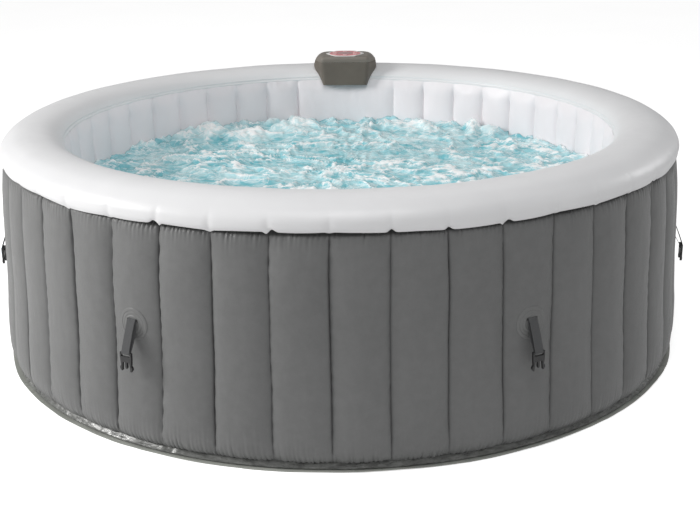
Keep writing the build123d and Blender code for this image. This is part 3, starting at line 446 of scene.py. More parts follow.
CABLE = plastic("cable_black_pvc", (.02, .02, .02), rough=.5)
FITTING = plastic("fitting_white_plastic", (.74, .75, .76), rough=.33, grain=1200, depth=.00006, vary=.03)
PAPER = pleated()
VALVE = plastic("valve_grey_plastic", (.15, .152, .155), rough=.36, grain=1100, depth=.0001)
CIRC = circuit()
WATER = water_mat()

# ------------------------------------------------------------------ shape of the two walls
_w, _ = spline(WALL_OUT, 1200)
_v, _ = spline(WALL_IN, 1200)
_rng = np.random.default_rng(44)
SEAM_SHIFT = _rng.normal(0, 1, (PANELS, 6))


def pleats(n, reach, w, length, depth):
    """Evenly spaced small pleats across a panel: place, width, length down the wall and depth of each."""
    c = np.linspace(-reach, reach, n) + _rng.uniform(-.55, .55, n) * reach / n
    return c, _rng.uniform(*w, n), _rng.uniform(*length, n), _rng.uniform(*depth, n)


GATHER_T = [pleats(11, .84, (.0024, .0036), (.0075, .0180), (.0012, .0034)) for _ in range(PANELS)]
GATHER_B = [pleats(12, .88, (.0022, .0034), (.0140, .0300), (.0032, .0062)) for _ in range(PANELS)]


def crest(z):
    return np.interp(z, _w[:, 1], _w[:, 0])


def inner_crest(z):
    return np.interp(z, _v[::-1, 1], _v[::-1, 0])


def bay_flat(a, z):
    """1 where the wall lies flat under the frame of the equipment bay, 0 away from it."""
    d = np.abs(np.mod(a - math.pi + math.pi, 2 * math.pi) - math.pi) * 1.02
    return (1 - step(d, .155, .215)) * (1 - step(np.abs(z - .305), .205, .262))


def seam_angle(k, z):
    """Angle of outer seam k at height z: the weld wanders a few millimetres, and most near its ends."""
    s = SEAM_SHIFT[k % PANELS]
    top, low = np.exp(-(.606 - z) / .07), np.exp(-(z - .02) / .06)
    off = .0010 * s[0] * np.sin(9 * z + s[1]) + .0007 * s[2] * np.sin(31 * z + 2 * s[3]) + .0040 * s[4] * top + .0028 * s[5] * low
    quiet = 0 if (k % PANELS) in (20, 21, 22, 23, 24) else 1
    return k * PITCH + np.clip(off, -.009, .009) * quiet


def wall_depth(z):
    return .0055 + .0110 * step(z, .015, .115) * (1 - .66 * step(z, .520, .606))


def wall_r(k, u, a, z):
    """Radius of the outer wall in panel k, where u runs from -1 to 1 across the panel."""
    flat = bay_flat(a, z)
    d = wall_depth(z) * (1 - flat) + .0006 * flat
    lump = 1 + .10 * np.sin(k * 2.4 + 5 * z)
    crease = np.exp(-(1 - np.abs(u)) * .073 / .0030)
    r = crest(z) - d * lump * (.50 * np.abs(u) ** 2 + .30 * np.abs(u) ** 4 + .24 * crease)
    half = .073
    q = np.zeros_like(r)
    c, w, L, A = GATHER_T[k]
    for n in range(len(c)):
        fall = np.exp(-np.maximum(.594 - z, 0) / L[n])
        q = q - A[n] * fall * np.exp(-((u - c[n]) * half / w[n]) ** 2) + .45 * A[n] * fall * np.exp(-((u - c[n]) * half / w[n] - 1.9) ** 2)
    c, w, L, A = GATHER_B[k]
    for n in range(len(c)):
        fall = np.exp(-np.maximum(z - .020, 0) / L[n])
        q = q - A[n] * fall * np.exp(-((u - c[n]) * half / w[n]) ** 2)
    s = (1 - np.abs(u)) * half
    s1 = SEAM_SHIFT[k]
    pucker = .0011 * np.exp(-s / .011) * np.sin(2 * math.pi * z / .041 + s1[1] * 3 + 2.2 * np.sin(17 * z + s1[3]))
    p = at(a, r, z)
    soft = .0010 * fbm(p * np.array([14, 14, 7]), 3, 3) + .0005 * fbm(p * np.array([46, 46, 20]), 2, 9)
    return r + (q + pucker * (1 + .4 * s1[0]) + soft) * (1 - .85 * flat)


# ------------------------------------------------------------------ outer wall
C = 48
t0 = np.linspace(0, 1, C + 1)[:-1]
half_bay = math.asin(BAY_X / 1.024)
zs = np.concatenate([np.linspace(.010, .060, 17)[:-1], np.linspace(.060, .130, 9)[:-1], np.linspace(.130, .480, 36)[:-1],
                     np.linspace(.480, .540, 9)[:-1], np.linspace(.540, .622, 24)])
P = np.zeros((PANELS * C, len(zs), 3))
A_col = np.zeros((PANELS * C, len(zs)))
for k in range(PANELS):
    t = t0.copy()
    if k == 21:
        cut = 1 - half_bay / PITCH
        t = np.where(t <= 8 / C, t / (8 / C) * cut, cut + (t - 8 / C) / (1 - 8 / C) * (1 - cut))
    if k == 22:
        cut = half_bay / PITCH
        t = np.where(t <= 40 / C, t / (40 / C) * cut, cut + (t - 40 / C) / (8 / C) * (1 - cut))
    T, Z = np.meshgrid(t, zs, indexing="ij")
    a = seam_angle(k, Z) * (1 - T) + seam_angle(k + 1, Z) * T
    if k == PANELS - 1:
        a = seam_angle(k, Z) * (1 - T) + (seam_angle(0, Z) + 2 * math.pi) * T
    r = wall_r(k, 2 * T - 1, a, Z)
    P[k * C:(k + 1) * C] = at(a, r, Z)
    A_col[k * C:(k + 1) * C] = a
keep = np.ones((PANELS * C, len(zs) - 1), bool)
j0, j1 = int(np.argmin(np.abs(zs - BAY_Z0))), int(np.argmin(np.abs(zs - BAY_Z1)))
keep[21 * C + 8:22 * C + 40, j0:j1] = False
near_seam = (1 - np.abs(2 * np.tile(t0, PANELS) - 1)) * .073
# Mask for the "weld" colour attribute: dark weld lines at the panel seams with painted shade in their creases, a
# painted shadow band under the rim edge and a painted shadow line along the foot seam.
weld_line_and_painted_shade = np.clip(.85 * np.exp(-(near_seam / .0022) ** 2)[:, None] + step(zs, .5935, .5990)[None, :] + .7 * (1 - step(zs, .017, .024))[None, :], 0, 1)
wall = shell("outer_wall_skin", P, .0012, "tub", LEATHER, keep=keep, colour={"weld": weld_line_and_painted_shade}, slot="leatherette", replaces=["outer_wall"])

# ------------------------------------------------------------------ rim
rim_line, rim_s = spline(RIM, 900)
total = rim_s[-1]
sp = np.unique(np.concatenate([np.linspace(0, .05, 22), np.linspace(.05, total - .040, 34), np.linspace(total - .040, total, 27)]))
rr, rz = np.interp(sp, rim_s, rim_line[:, 0]), np.interp(sp, rim_s, rim_line[:, 1])
P = np.zeros((PANELS * C, len(sp), 3))
kind = _rng.integers(0, 3, PANELS)
amp = _rng.uniform(.6, 1.25, PANELS)
side = _rng.choice([-1, 1], PANELS)
off = _rng.normal(0, .0020, PANELS)
for k in range(PANELS):
    T, S = np.meshgrid(t0, sp, indexing="ij")
    top = np.full_like(T, .606)
    a = seam_angle(k, top) * (1 - T) + seam_angle(k + 1, top) * T
    if k == PANELS - 1:
        a = seam_angle(k, top) * (1 - T) + (seam_angle(0, top) + 2 * math.pi) * T
    r = np.interp(S, rim_s, rim_line[:, 0])
    z = np.interp(S, rim_s, rim_line[:, 1])
    u = 2 * T - 1
    near = np.exp(-S / .016)
    r = r - (.0046 * (.35 * np.abs(u) ** 2 + .65 * np.abs(u) ** 6)) * near
    # the welded edge: a nick or a small tab at each panel seam, and a slow rise and fall between
    dz = off[k] * (1 - T) + off[(k + 1) % PANELS] * T + .0018 * np.sin(math.pi * T) * math.sin(k * 1.7)
    for q, kk in ((T * .146, k), ((T - 1) * .146, (k + 1) % PANELS)):
        if kind[kk] == 0:
            dz = dz + .0068 * amp[kk] * np.exp(-(q / .0075) ** 2)
        elif kind[kk] == 1:
            dz = dz - .0060 * amp[kk] * np.exp(-((q - side[kk] * .004) / .0065) ** 2) + .0058 * amp[kk] * np.exp(-((q + side[kk] * .011) / .0080) ** 2)
        else:
            dz = dz - .0040 * amp[kk] * np.exp(-(q / .0085) ** 2)
        # pinch that runs from the nick up the rim
        r = r - .0022 * amp[kk] * np.exp(-(q / .009) ** 2) * np.exp(-S / .030)
    z = z + dz * np.exp(-S / .011)
    p = at(a, r, z)
    soft = .0013 * fbm(p * 7.0, 3, 14) + .0006 * fbm(p * np.array([34, 34, 34]), 2, 19) * np.exp(-S / .030)
    soft = soft * step(S, 0, .02)
    # two raised weld lines beside the inner seam
    e = total - S
    bead = .0011 * np.exp(-((e - .0035) / .0016) ** 2) + .0009 * np.exp(-((e - .0135) / .0017) ** 2) - .0008 * np.exp(-((e - .0085) / .0025) ** 2)
    P[k * C:(k + 1) * C] = p
    P[k * C:(k + 1) * C, :, 2] += soft + bead * .35
    rad = np.stack([np.sin(a), -np.cos(a)], -1)
    P[k * C:(k + 1) * C, :, :2] -= rad * (bead * .95)[..., None]
rim = shell("rim_skin", P, .0014, "tub", RIMW, slot="rim_white", replaces=["top_ring", "weld_bands"])

# ------------------------------------------------------------------ inner wall
CI = 24
ti = np.linspace(0, 1, CI + 1)[:-1]
inner_seams = [k + .5 for k in range(PANELS) if not (20.5 < k + .5 < 23.5)]
zi = np.concatenate([np.linspace(.6325, .560, 22)[:-1], np.linspace(.560, .430, 24)[:-1], np.linspace(.430, .0025, 26)])
cols_a, cols_u, cols_k = [], [], []
for n, s in enumerate(inner_seams):
    e = inner_seams[(n + 1) % len(inner_seams)]
    if e < s:
        e += PANELS
    wide = e - s > 1.5
    m = CI * 3 if wide else CI
    tt = np.linspace(0, 1, m + 1)[:-1]
    cols_a.append((s + (e - s) * tt) * PITCH)
    cols_u.append(2 * tt - 1)
    cols_k.append(np.full(m, -1 if wide else n))
ca, cu, ck = np.concatenate(cols_a), np.concatenate(cols_u), np.concatenate(cols_k)
U, Z = np.meshgrid(cu, zi, indexing="ij")
Aa = np.repeat(ca[:, None], len(zi), 1)
K = np.repeat(ck[:, None], len(zi), 1)


def inner_r(a, u, k, z):
    d = .0034 + .0150 * (1 - step(z, .575, .632)) * step(z, .003, .08)
    d = np.where(k < 0, d * .55, d)
    shape = np.where(k < 0, np.abs(u) ** 8, .50 * u ** 2 + .28 * np.abs(u) ** 4 + .22 * np.exp(-(1 - np.abs(u)) * .058 / .0035))
    r = inner_crest(z) + d * shape
    p = at(a, r, z)
    gath = np.exp(-np.maximum(.632 - z, 0) / .035)
    r = r + .0022 * gath * fbm(np.stack([a * 40, z * 9, 0 * z], -1), 2, 22) + .0011 * fbm(p * np.array([16, 16, 6]), 3, 25)
    return r


P = at(Aa, inner_r(Aa, U, K, Z), Z)
inner = shell("inner_wall_skin", P, .0012, "tub", LINER, slot="liner_white", replaces=["inner_wall"])

# ------------------------------------------------------------------ webs between the walls
V, F = [], []
zw = np.linspace(.034, .585, 14)
for k in range(PANELS):
    if k in (21, 22):
        continue
    ao, ai = seam_angle(k, zw), np.full_like(zw, (k + .5) * PITCH)
    ro = wall_r(k, np.full_like(zw, -1.0), ao, zw) - .0035
    ri = inner_r(ai, np.full_like(zw, -1.0), np.zeros_like(zw), zw) + .0035
    Po, Pi = at(ao, ro, zw), at(ai, ri, zw)
    side_n = np.cross(Po - Pi, [0, 0, 1.0])
    side_n /= np.linalg.norm(side_n, axis=1, keepdims=True)
    ring = np.stack([Po + side_n * .0003, Pi + side_n * .0003, Pi - side_n * .0003, Po - side_n * .0003], 1)
    base = sum(len(v) for v in V)
    V.append(ring.reshape(-1, 3))
    for j in range(len(zw) - 1):
        for q in range(4):
            F.append([base + j * 4 + q, base + j * 4 + (q + 1) % 4, base + (j + 1) * 4 + (q + 1) % 4, base + (j + 1) * 4 + q])
    F.append([base + 3, base + 2, base + 1, base])
    e = base + (len(zw) - 1) * 4
    F.append([e, e + 1, e + 2, e + 3])
build("wall_webs", np.concatenate(V), [np.array(F)], "tub", WEBS, slot="webs", replaces=["wall_baffles"], sharp=30)

# ------------------------------------------------------------------ welded foot of the wall
foot = [(1.0005, .0205), (1.0040, .0175), (1.0070, .0140), (1.0095, .0105), (1.0115, .0075), (1.0132, .0050), (1.0136, .0030), (1.0125, .0014), (1.0070, .0010), (1.0000, .0010), (.9900, .0010)]
fl, fs = spline([(r_, z_ + (.0014 if z_ > .0011 else .0013)) for r_, z_ in foot], 34)
n = 1100
a = np.linspace(0, 2 * math.pi, n, endpoint=False)
Aa = np.repeat(a[:, None], len(fl), 1)
R, Z = np.repeat(fl[None, :, 0], n, 0), np.repeat(fl[None, :, 1], n, 0)
up = step(Z, .0015, .008)
wv = fbm(np.stack([np.sin(Aa) * 26, np.cos(Aa) * 26, 0 * Aa], -1), 3, 31)
wf = fbm(np.stack([np.sin(Aa) * 95, np.cos(Aa) * 95, Z * 90], -1), 3, 35)
R = R + up * (.0018 * wv + .0011 * wf)
Z = Z + up * (.0016 * wf + .0026 * wv * step(R, 1.004, 1.020))
Z = np.maximum(Z, .0022)
P = at(Aa, R, Z)
F = grid_faces(n, len(fl))
lastc = np.stack([(np.arange(n) + 1) % n * len(fl), np.arange(n) * len(fl), np.arange(n) * len(fl) + len(fl) - 1, (np.arange(n) + 1) % n * len(fl) + len(fl) - 1], -1)
build("foot_flange", P, [np.concatenate([F[:, ::-1], lastc[:, ::-1]])], "tub", FOOT, slot="ground_sheet", replaces=["base_flange"], sharp=50)

# ------------------------------------------------------------------ ground sheet, whose free edge shows round the foot
n = 900
a = np.linspace(0, 2 * math.pi, n, endpoint=False)
rim_e = 1.0268 + .0030 * fbm(np.stack([np.sin(a) * 9, np.cos(a) * 9, 0 * a], -1), 3, 61)
lift = np.clip(.0016 + .0030 * fbm(np.stack([np.sin(a) * 6, np.cos(a) * 6, 0 * a + 4], -1), 3, 63), .0002, .0045)
rows = []
for rr_, zz_ in ((.30, 0), (.70, 0), (.96, 0), (1.000, 0), (1.012, .15), (1.020, .55), (1.0245, .9), (None, 1.0)):
    rad_ = rim_e if rr_ is None else np.minimum(np.full(n, rr_), rim_e - .001)
    rows.append(at(a, rad_, .0012 + lift * zz_))
top_rows = np.stack(rows, 1)
low_rows = top_rows[:, ::-1].copy()
low_rows[:, :, 2] = np.maximum(low_rows[:, :, 2] - .0011, .0001)
P = np.concatenate([top_rows, low_rows], 1)
m = P.shape[1]
F = grid_faces(n, m)
build("ground_sheet_disc", P, [F[:, ::-1], (np.arange(n) * m)[None, :], ((np.arange(n) * m + m - 1)[::-1])[None, :]], "tub", SHEETM, slot="ground_sheet", replaces=["base_sheet"], sharp=50)

# ------------------------------------------------------------------ water with foam
nW, mW = 760, 128
a = np.linspace(0, 2 * math.pi, nW, endpoint=False)
edge = np.interp(np.mod(a - ca[0], 2 * math.pi), np.concatenate([ca - ca[0], [2 * math.pi]]), np.concatenate([inner_r(ca, cu, ck, np.full_like(ca, .47)), [inner_r(ca[:1], cu[:1], ck[:1], np.array([.47]))[0]]])) - .0006
t = np.linspace(0, 1, mW) ** .82
Aa, T = np.meshgrid(a, t, indexing="ij")
Rw = .006 + (edge[:, None] - .006) * T
X, Y = Rw * np.sin(Aa), -Rw * np.cos(Aa)
q = np.stack([X, Y, 0 * X], -1)
warp = np.stack([fbm(q * 5.5, 2, 41), fbm(q * 5.5 + 9, 2, 43), 0 * X], -1) * .055
qw = q + warp
swell = fbm(qw * 5.0, 3, 45)
ridge = 1 - np.abs(fbm(qw * np.array([10, 13, 1]), 4, 47)) * 2.6
ridge = np.clip(ridge, 0, 1) ** 2
chop = fbm(qw * 34, 4, 49, .6)
fine = fbm(q * 95, 3, 51, .6)
back = step(Y, .18, .62) * step(Rw, .42, .72)
spray = np.clip(fbm(qw * np.array([13, 13, 1]), 3, 53, .45) * 1.7 + .22, 0, 1)
H = .477 + .0105 * swell + .0115 * ridge + .0065 * chop + .0022 * fine
H = H + back * (.024 * spray * (.65 + .35 * ridge)) + .012 * step(Rw, .60, .79) * np.clip(chop + .3, 0, 1)
rise = np.clip((H - .468) / .040, 0, 1)
foam = np.clip(.90 * step(ridge + .30 * chop, .58, 1.10) * (1 - .55 * back) + .30 * back * step(spray, .35, .95) + .16 * step(chop, .16, .55), 0, 1)
top = np.stack([X, Y, H], -1)
lower = [np.stack([X[:, -1], Y[:, -1], np.full(nW, .400)], -1)] + [np.stack([X[:, -1] * s, Y[:, -1] * s, np.full(nW, .400)], -1) for s in (.75, .5, .25, .01)]
P = np.concatenate([top, np.stack(lower, 1)], 1)
m = P.shape[1]
extra = np.zeros((nW, m - mW))
F = grid_faces(nW, m)
cap0, cap1 = (np.arange(nW) * m)[None, :], (np.arange(nW) * m + m - 1)[::-1][None, :]
build("water", P, [F[:, ::-1], cap0, cap1], "tub", WATER, slot=None, sharp=0,
      colour={"foam": np.concatenate([foam, extra], 1), "rise": np.concatenate([rise, extra], 1)})


# ------------------------------------------------------------------ strap patches
def wall_at(a, z):
    """Radius of the outer wall at any angle, from the panel that it falls in."""
    k = int(round(float(np.mean(a)) / PITCH - .5)) % PANELS
    a0 = seam_angle(k, z)
    a1 = seam_angle(k + 1, z)
    base = round(float(np.mean(a)) / PITCH - .5) - k
    aa = a - base * PITCH
    u = 2 * (aa - a0) / (a1 - a0) - 1
    return wall_r(k, np.clip(u, -1, 1), a, z)


V, F, base = [], [], 0
for kk in STRAPS.values():
    ac = kk * PITCH
    nP, mP = 144, 60
    rho = np.concatenate([np.linspace(.0008, .040, mP - 6), np.array([.0408, .0415, .0420, .0420, .0420, .0419])])
    th = np.linspace(0, 2 * math.pi, nP, endpoint=False)
    TH, RH = np.meshgrid(th, rho, indexing="ij")
    s, v = RH * np.cos(TH), RH * np.sin(TH)
    h = .0016 - .0002 * 0 * RH
    h = h + .0005 * np.exp(-((RH - .036) / .0014) ** 2) - .0006 * np.exp(-((RH - .033) / .0010) ** 2) + .0004 * np.exp(-((RH - .0285) / .0012) ** 2)
    h = h + (HUB_R - crest(PATCH_Z) - .0016 - .0004) * (1 - step(RH, .0215, .0240)) + .0006 * np.exp(-((RH - .0205) / .0011) ** 2)
    slot_d = np.maximum(np.abs(s) - .0145, 0) ** 2 + np.maximum(np.abs(v - (SLOT_Z - .001 - PATCH_Z)) - .0022, 0) ** 2
    h = h - .0042 * (1 - step(np.sqrt(slot_d), .0004, .0018))
    zz = PATCH_Z + v
    aa = ac + s / 1.0185
    # the weld drags the wall round it a little
    r = wall_at(aa, zz) + h
    drop = np.array([0.0] * (mP - 6) + [.0003, .0007, .0012, .0020, .0030, .0042])
    r = r - drop[None, :] * 1.0
    P = at(aa, r, zz)
    back_ = at(np.full((nP, 1), ac), np.full((nP, 1), crest(PATCH_Z) - .004), np.full((nP, 1), PATCH_Z)) + 0 * P[:, :1]
    Fg = grid_faces(nP, mP) + base
    F.append(Fg[:, ::-1])
    V.append(P.reshape(-1, 3))
    caps = [(np.arange(nP) * mP)[None, :] + base, ((np.arange(nP) * mP + mP - 1)[::-1])[None, :] + base]
    F.append(("cap", caps))
    base += nP * mP
quads = np.concatenate([f for f in F if not isinstance(f, tuple)])
caps = [c for f in F if isinstance(f, tuple) for c in f[1]]
patches = build("strap_patch_discs", np.concatenate(V), [quads, np.concatenate(caps)], "tub", PATCH, slot="patch_grey", replaces=["strap_patches"], sharp=50)


# ------------------------------------------------------------------ webbing straps
def tape(name, path, width, thick, body, mat, across, curl=0.0, **kw):
    """Woven tape along path (points n x 3); across gives the tape's width direction at each point."""
    path = np.asarray(path, float)
    n = len(path)
    tan = np.gradient(path, axis=0)
    tan /= np.linalg.norm(tan, axis=1, keepdims=True)
    ax = across - (across * tan).sum(1, keepdims=True) * tan
    ax /= np.linalg.norm(ax, axis=1, keepdims=True)
    nn = np.cross(tan, ax)
    h, w = thick / 2, width / 2
    section = []
    for x in np.linspace(-1, 1, 15):
        section.append((x * (w - h * .9), h * (1 - .16 * abs(math.sin(x * 9.4)))))
    section += [(w - .2 * h, h * .55), (w, 0), (w - .2 * h, -h * .55)]
    for x in np.linspace(1, -1, 15):
        section.append((x * (w - h * .9), -h * (1 - .16 * abs(math.sin(x * 9.4)))))
    section += [(-w + .2 * h, -h * .55), (-w, 0), (-w + .2 * h, h * .55)]
    S = np.array(section)
    m = len(S)
    P = path[:, None] + ax[:, None] * S[None, :, :1] + nn[:, None] * (S[None, :, 1:] + curl * (S[None, :, :1] / w) ** 2)
    F = []
    for i in range(n - 1):
        for j in range(m):
            F.append([i * m + j, i * m + (j + 1) % m, (i + 1) * m + (j + 1) % m, (i + 1) * m + j])
    length = np.concatenate([[0], np.cumsum(np.linalg.norm(np.diff(path, axis=0), axis=1))])
    uv = np.stack([np.repeat(S[None, :, 0], n, 0), np.repeat(length[:, None], m, 1)], -1)
    F = np.array(F)
    ends = [np.arange(m)[None, ::-1], (np.arange(m) + (n - 1) * m)[None, :]]
    # the faces are flipped, as the section is laid the other way round
    return build(name, P, [F[:, ::-1], np.concatenate(ends)[:, ::-1]], body, mat, uv=uv, sharp=60, **kw)


BAR_R_, BAR_Z = HUB_R + STRAP_LEN * math.sin(LEAN), SLOT_Z - STRAP_LEN * math.cos(LEAN)
for where, kk in STRAPS.items():
    ac = kk * PITCH
    d = np.array([math.sin(LEAN), -math.cos(LEAN)])   # down the strap, in (radius, height)
    nrm = np.array([math.cos(LEAN), math.sin(LEAN)])  # outward across it
    start = np.array([HUB_R, SLOT_Z])
    bar = np.array([BAR_R_, BAR_Z])
    pts = [start + np.array([-.0040, .0018]), start + np.array([.0004, .0020]), start + d * .006 + nrm * .0036]
    pts += [start + d * x + nrm * (.0036 + .0012 * math.sin(math.pi * x / .084)) for x in (.016, .030, .046, .062, .076)]
    pts += [bar + nrm * .0031 + d * .0004, bar + d * .0031, bar - nrm * .0031 + d * .0002]
    pts += [start + d * x - nrm * (.0026 + .0055 * math.sin(math.pi * min(1, x / .084)) ** 1.0) for x in (.072, .058, .044, .030, .018)]
    pts += [start + d * .007 - nrm * .0026, start + np.array([-.0006, -.0022]), start + np.array([-.0044, -.0030])]
    line, _ = spline(pts, 110)
    path = np.stack([line[:, 0] * math.sin(ac), -line[:, 0] * math.cos(ac), line[:, 1]], -1)
    across = np.tile(np.array([math.cos(ac), math.sin(ac), 0.0]), (len(path), 1))
    tape(f"{where}_webbing", path, .0245, .0014, f"{where}_strap", TAPE, across, slot="webbing", replaces=[f"{where}_strap"])


# ------------------------------------------------------------------ console shells
def cage(name, loops, mat, replaces, cap, creases, thick=.0024, levels=3):
    me = bpy.data.meshes.new(name)
    n = len(loops[0])
    V = [p for l in loops for p in l]
    F = []
    for j in range(len(loops) - 1):
        for i in range(n):
            F.append((j * n + i, j * n + (i + 1) % n, (j + 1) * n + (i + 1) % n, (j + 1) * n + i))
    if cap:
        F.append(tuple((len(loops) - 1) * n + i for i in range(n)))
    me.from_pydata(V, [], F)
    me.update()
    att = me.attributes.new("crease_edge", "FLOAT", "EDGE")
    vals = np.zeros(len(me.edges), np.float32)
    for e in me.edges:
        a_, b_ = e.vertices
        ia, ib, ja, jb = a_ % n, b_ % n, a_ // n, b_ // n
        if ia == ib:
            vals[e.index] = creases[0].get(ia, 0)
        elif ja == jb:
            vals[e.index] = creases[1].get(ja, 0)
    att.data.foreach_set("value", vals)
    me.polygons.foreach_set("use_smooth", np.ones(len(me.polygons), bool))
    me.materials.append(mat)
    o = bpy.data.objects.new(name, me)
    bpy.context.scene.collection.objects.link(o)
    s = o.modifiers.new("round", "SUBSURF")
    s.levels = s.render_levels = levels
    k = o.modifiers.new("wall", "SOLIDIFY")
    k.thickness, k.offset = thick, -1
    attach(o, "tub")
    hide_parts(*replaces)
    return o


def console_loop(f, c, r, b, zf, zm, zr, zb, yf=.788, yc=.838, yr=.918, yb=.940):
    """Corners round the console, counter-clockwise from front left: front, side front, side rear, back."""
    L = [(-f, yf, zf), (0, yf, zf), (f, yf, zf), (c, yc, zm), (c * .5 + r * .5, (yc + yr) / 2, (zm + zr) / 2), (r, yr, zr), (b, yb, zb), (0, yb, zb), (-b, yb, zb),
         (-r, yr, zr), (-c * .5 - r * .5, (yc + yr) / 2, (zm + zr) / 2), (-c, yc, zm)]
    return L


low = [console_loop(.0790, .084, .084, .074, .617, .612, .612, .612),
       console_loop(.0797, .090, .090, .078, .626, .622, .622, .622),
       console_loop(.0822, .104, .103, .088, .651, .652, .652, .652),
       console_loop(.0842, .1150, .1132, .0955, .674, .677, .678, .678),
       console_loop(.0848, .1152, .1132, .0953, .684, .687, .688, .688),
       console_loop(.0860, .1112, .1092, .0918, .6995, .6995, .6995, .6995)]
high = [console_loop(.0860, .1112, .1092, .0918, .7000, .7000, .7000, .7000),
        console_loop(.0866, .1070, .1048, .0885, .7060, .7070, .7070, .7060, yb=.9375),
        console_loop(.0866, .0995, .0970, .0820, .7130, .7148, .7148, .7125, yf=.7888, yb=.932),
        console_loop(.0835, .0895, .0870, .0740, .7195, .7198, .7198, .7185, yf=.7925, yc=.839, yr=.912, yb=.926),
        console_loop(.0790, .0810, .0785, .0680, .7210, .7210, .7210, .7210, yf=.7965, yc=.840, yr=.906, yb=.919),
        console_loop(.0730, .0750, .0725, .0620, .7210, .7210, .7210, .7210, yf=.8025, yc=.842, yr=.900, yb=.911)]
corner = {0: .94, 2: .94, 3: .50, 11: .50, 5: .45, 9: .45, 6: .6, 8: .6}
# Body shell in the darker copy of the console plastic (painted shade), top shell in the lighter copy (painted light).
cage("console_body_shell", low, CONSOLE_SHADED, ["console_base"], False, (corner, {0: .9, 5: .9, 3: .25, 4: .15}))
cage("console_top_shell", high, CONSOLE_LIT, ["console_cover"], True, ({0: .86, 2: .86, 3: .3, 11: .3, 6: .35, 8: .35}, {0: .9, 3: .35, 4: .5, 5: .6}))

# ------------------------------------------------------------------ CAD pieces that stay: soft edges and a material each
DRESS = {
    "floor_liner": (LINER, 0), "air_channel": (LINER, 0),
    "screws": (STEEL, 0), "console_board": (CIRC, 0), "control_bezel": (BEZEL, .0005), "touch_ring": (DIAL, .0003), "display_window": (GLASSY, .0003),
    "bay_box": (BAY, 0), "bay_frame": (BAY, .0010), "cover_gasket": (SEAL, 0), "access_cover": (BAY, .0009), "power_gland": (SEAL, .0005),
    "pump_volute": (PUMP, 0), "pump_motor": (MOTOR, 0), "pump_rotor": (ROTOR, 0), "heater_tube": (STEEL, 0), "heater_element": (STEEL, 0),
    "blower_housing": (PUMP, 0), "blower_motor": (MOTOR, 0), "blower_fan": (ROTOR, 0), "air_pipe": (HOSE, 0), "control_board": (CIRC, 0), "signal_cable": (CABLE, 0),
    "filter_seat": (FITTING, .0006), "return_nozzle": (FITTING, .0006), "filter_cover": (FITTING, .0006), "filter_cartridge": (PAPER, 0),
    "inflation_valve": (VALVE, .0005), "valve_core": (FITTING, .0003), "valve_cap": (VALVE, .0006), "drain_fitting": (VALVE, .0006), "drain_plug": (VALVE, .0006),
}
for b in ("power", "heat", "bubble", "filter", "plus", "minus"):
    DRESS[f"{b}_button"] = (KEY, .0003)
for w in STRAPS:
    DRESS[f"{w}_buckle"] = (BLACK, .0007)
for node, (mat, width) in DRESS.items():
    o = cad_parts[node]
    o.data.materials.clear()
    o.data.materials.append(mat)
    if "custom_normal" in o.data.attributes:
        o.data.attributes.remove(o.data.attributes["custom_normal"])
    o.data.polygons.foreach_set("use_smooth", np.ones(len(o.data.polygons), bool))
    weld = o.modifiers.new("join", "WELD")
    weld.merge_threshold = 2e-6
    if width:
        bev = o.modifiers.new("soft", "BEVEL")
        bev.width, bev.segments, bev.limit_method, bev.angle_limit = width, 2, "ANGLE", math.radians(38)
        bev.use_clamp_overlap = True
        even = o.modifiers.new("even", "WEIGHTED_NORMAL")
        even.keep_sharp, even.weight = True, 60
    o.data.set_sharp_from_angle(angle=math.radians(32))

# ------------------------------------------------------------------ stage, lights, camera
me = bpy.data.meshes.new("studio_floor")
me.from_pydata([(-40, -40, 0), (40, -40, 0), (40, 40, 0), (-40, 40, 0)], [], [(0, 1, 2, 3)])
me.materials.append(floor_mat())
floor = bpy.data.objects.new("studio_floor", me)
bpy.context.scene.collection.objects.link(floor)

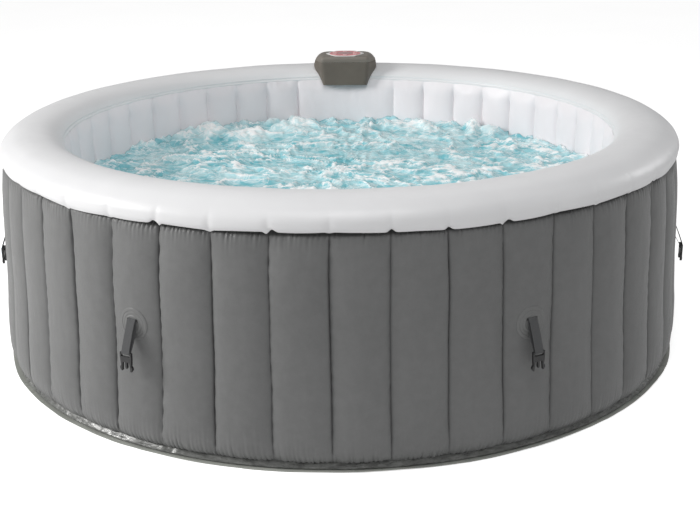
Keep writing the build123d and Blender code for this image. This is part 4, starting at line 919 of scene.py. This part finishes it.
world = bpy.data.worlds.new("studio")
bpy.context.scene.world = world
world.use_nodes = True
nt = world.node_tree
bg = nt.nodes["Background"]
bg.inputs["Color"].default_value = (1.0, 1.0, 1.0, 1)
bg.inputs["Strength"].default_value = .36
bright = nt.nodes.new("ShaderNodeBackground")
bright.inputs["Color"].default_value = (1, 1, 1, 1)
bright.inputs["Strength"].default_value = 1.05
path = nt.nodes.new("ShaderNodeLightPath")
mixer = nt.nodes.new("ShaderNodeMixShader")
nt.links.new(path.outputs["Is Camera Ray"], mixer.inputs[0])
nt.links.new(bg.outputs[0], mixer.inputs[1])
nt.links.new(bright.outputs[0], mixer.inputs[2])
nt.links.new(mixer.outputs[0], next(x for x in nt.nodes if x.type == "OUTPUT_WORLD").inputs[0])


def light(name, kind, place, aim, energy, size=1.0, colour=(1, 1, 1)):
    d = bpy.data.lights.new(name, kind)
    d.energy, d.color = energy, colour
    if kind == "AREA":
        d.shape, d.size = "DISK", size
    else:
        d.angle = size
    o = bpy.data.objects.new(name, d)
    bpy.context.scene.collection.objects.link(o)
    o.location = place
    o.rotation_mode = "QUATERNION"
    o.rotation_quaternion = (Vector(aim) - Vector(place)).to_track_quat("-Z", "Y")
    return o


light("key_left", "AREA", (-5.2, -1.2, 2.7), (0, 0, .5), 218, 2.1, (1, .99, .975))
light("top_soft", "AREA", (.2, -2.0, 4.0), (0, .1, .5), 52, 2.4)
light("rim_right", "AREA", (3.9, 1.6, 1.9), (.8, -.2, .35), 17, 1.3)

cam_data = bpy.data.cameras.new("camera")
cam = bpy.data.objects.new("camera", cam_data)
bpy.context.scene.collection.objects.link(cam)
cam_data.lens, cam_data.sensor_width = 63.14, 36
cam_data.clip_start, cam_data.clip_end = .05, 200
yaw, pitch, roll = -.0213, .3255, -.0113
f = Vector((math.sin(yaw) * math.cos(pitch), math.cos(yaw) * math.cos(pitch), -math.sin(pitch)))
right = Vector((math.cos(yaw), -math.sin(yaw), 0))
upv = right.cross(f)
r2 = right * math.cos(roll) + upv * math.sin(roll)
u2 = -right * math.sin(roll) + upv * math.cos(roll)
cam.matrix_world = Matrix.Translation((.1064, -3.6925, 1.4418)) @ Matrix((r2, u2, -f)).transposed().to_4x4()
bpy.context.scene.camera = cam
bpy.context.scene.view_settings.view_transform = "Standard"
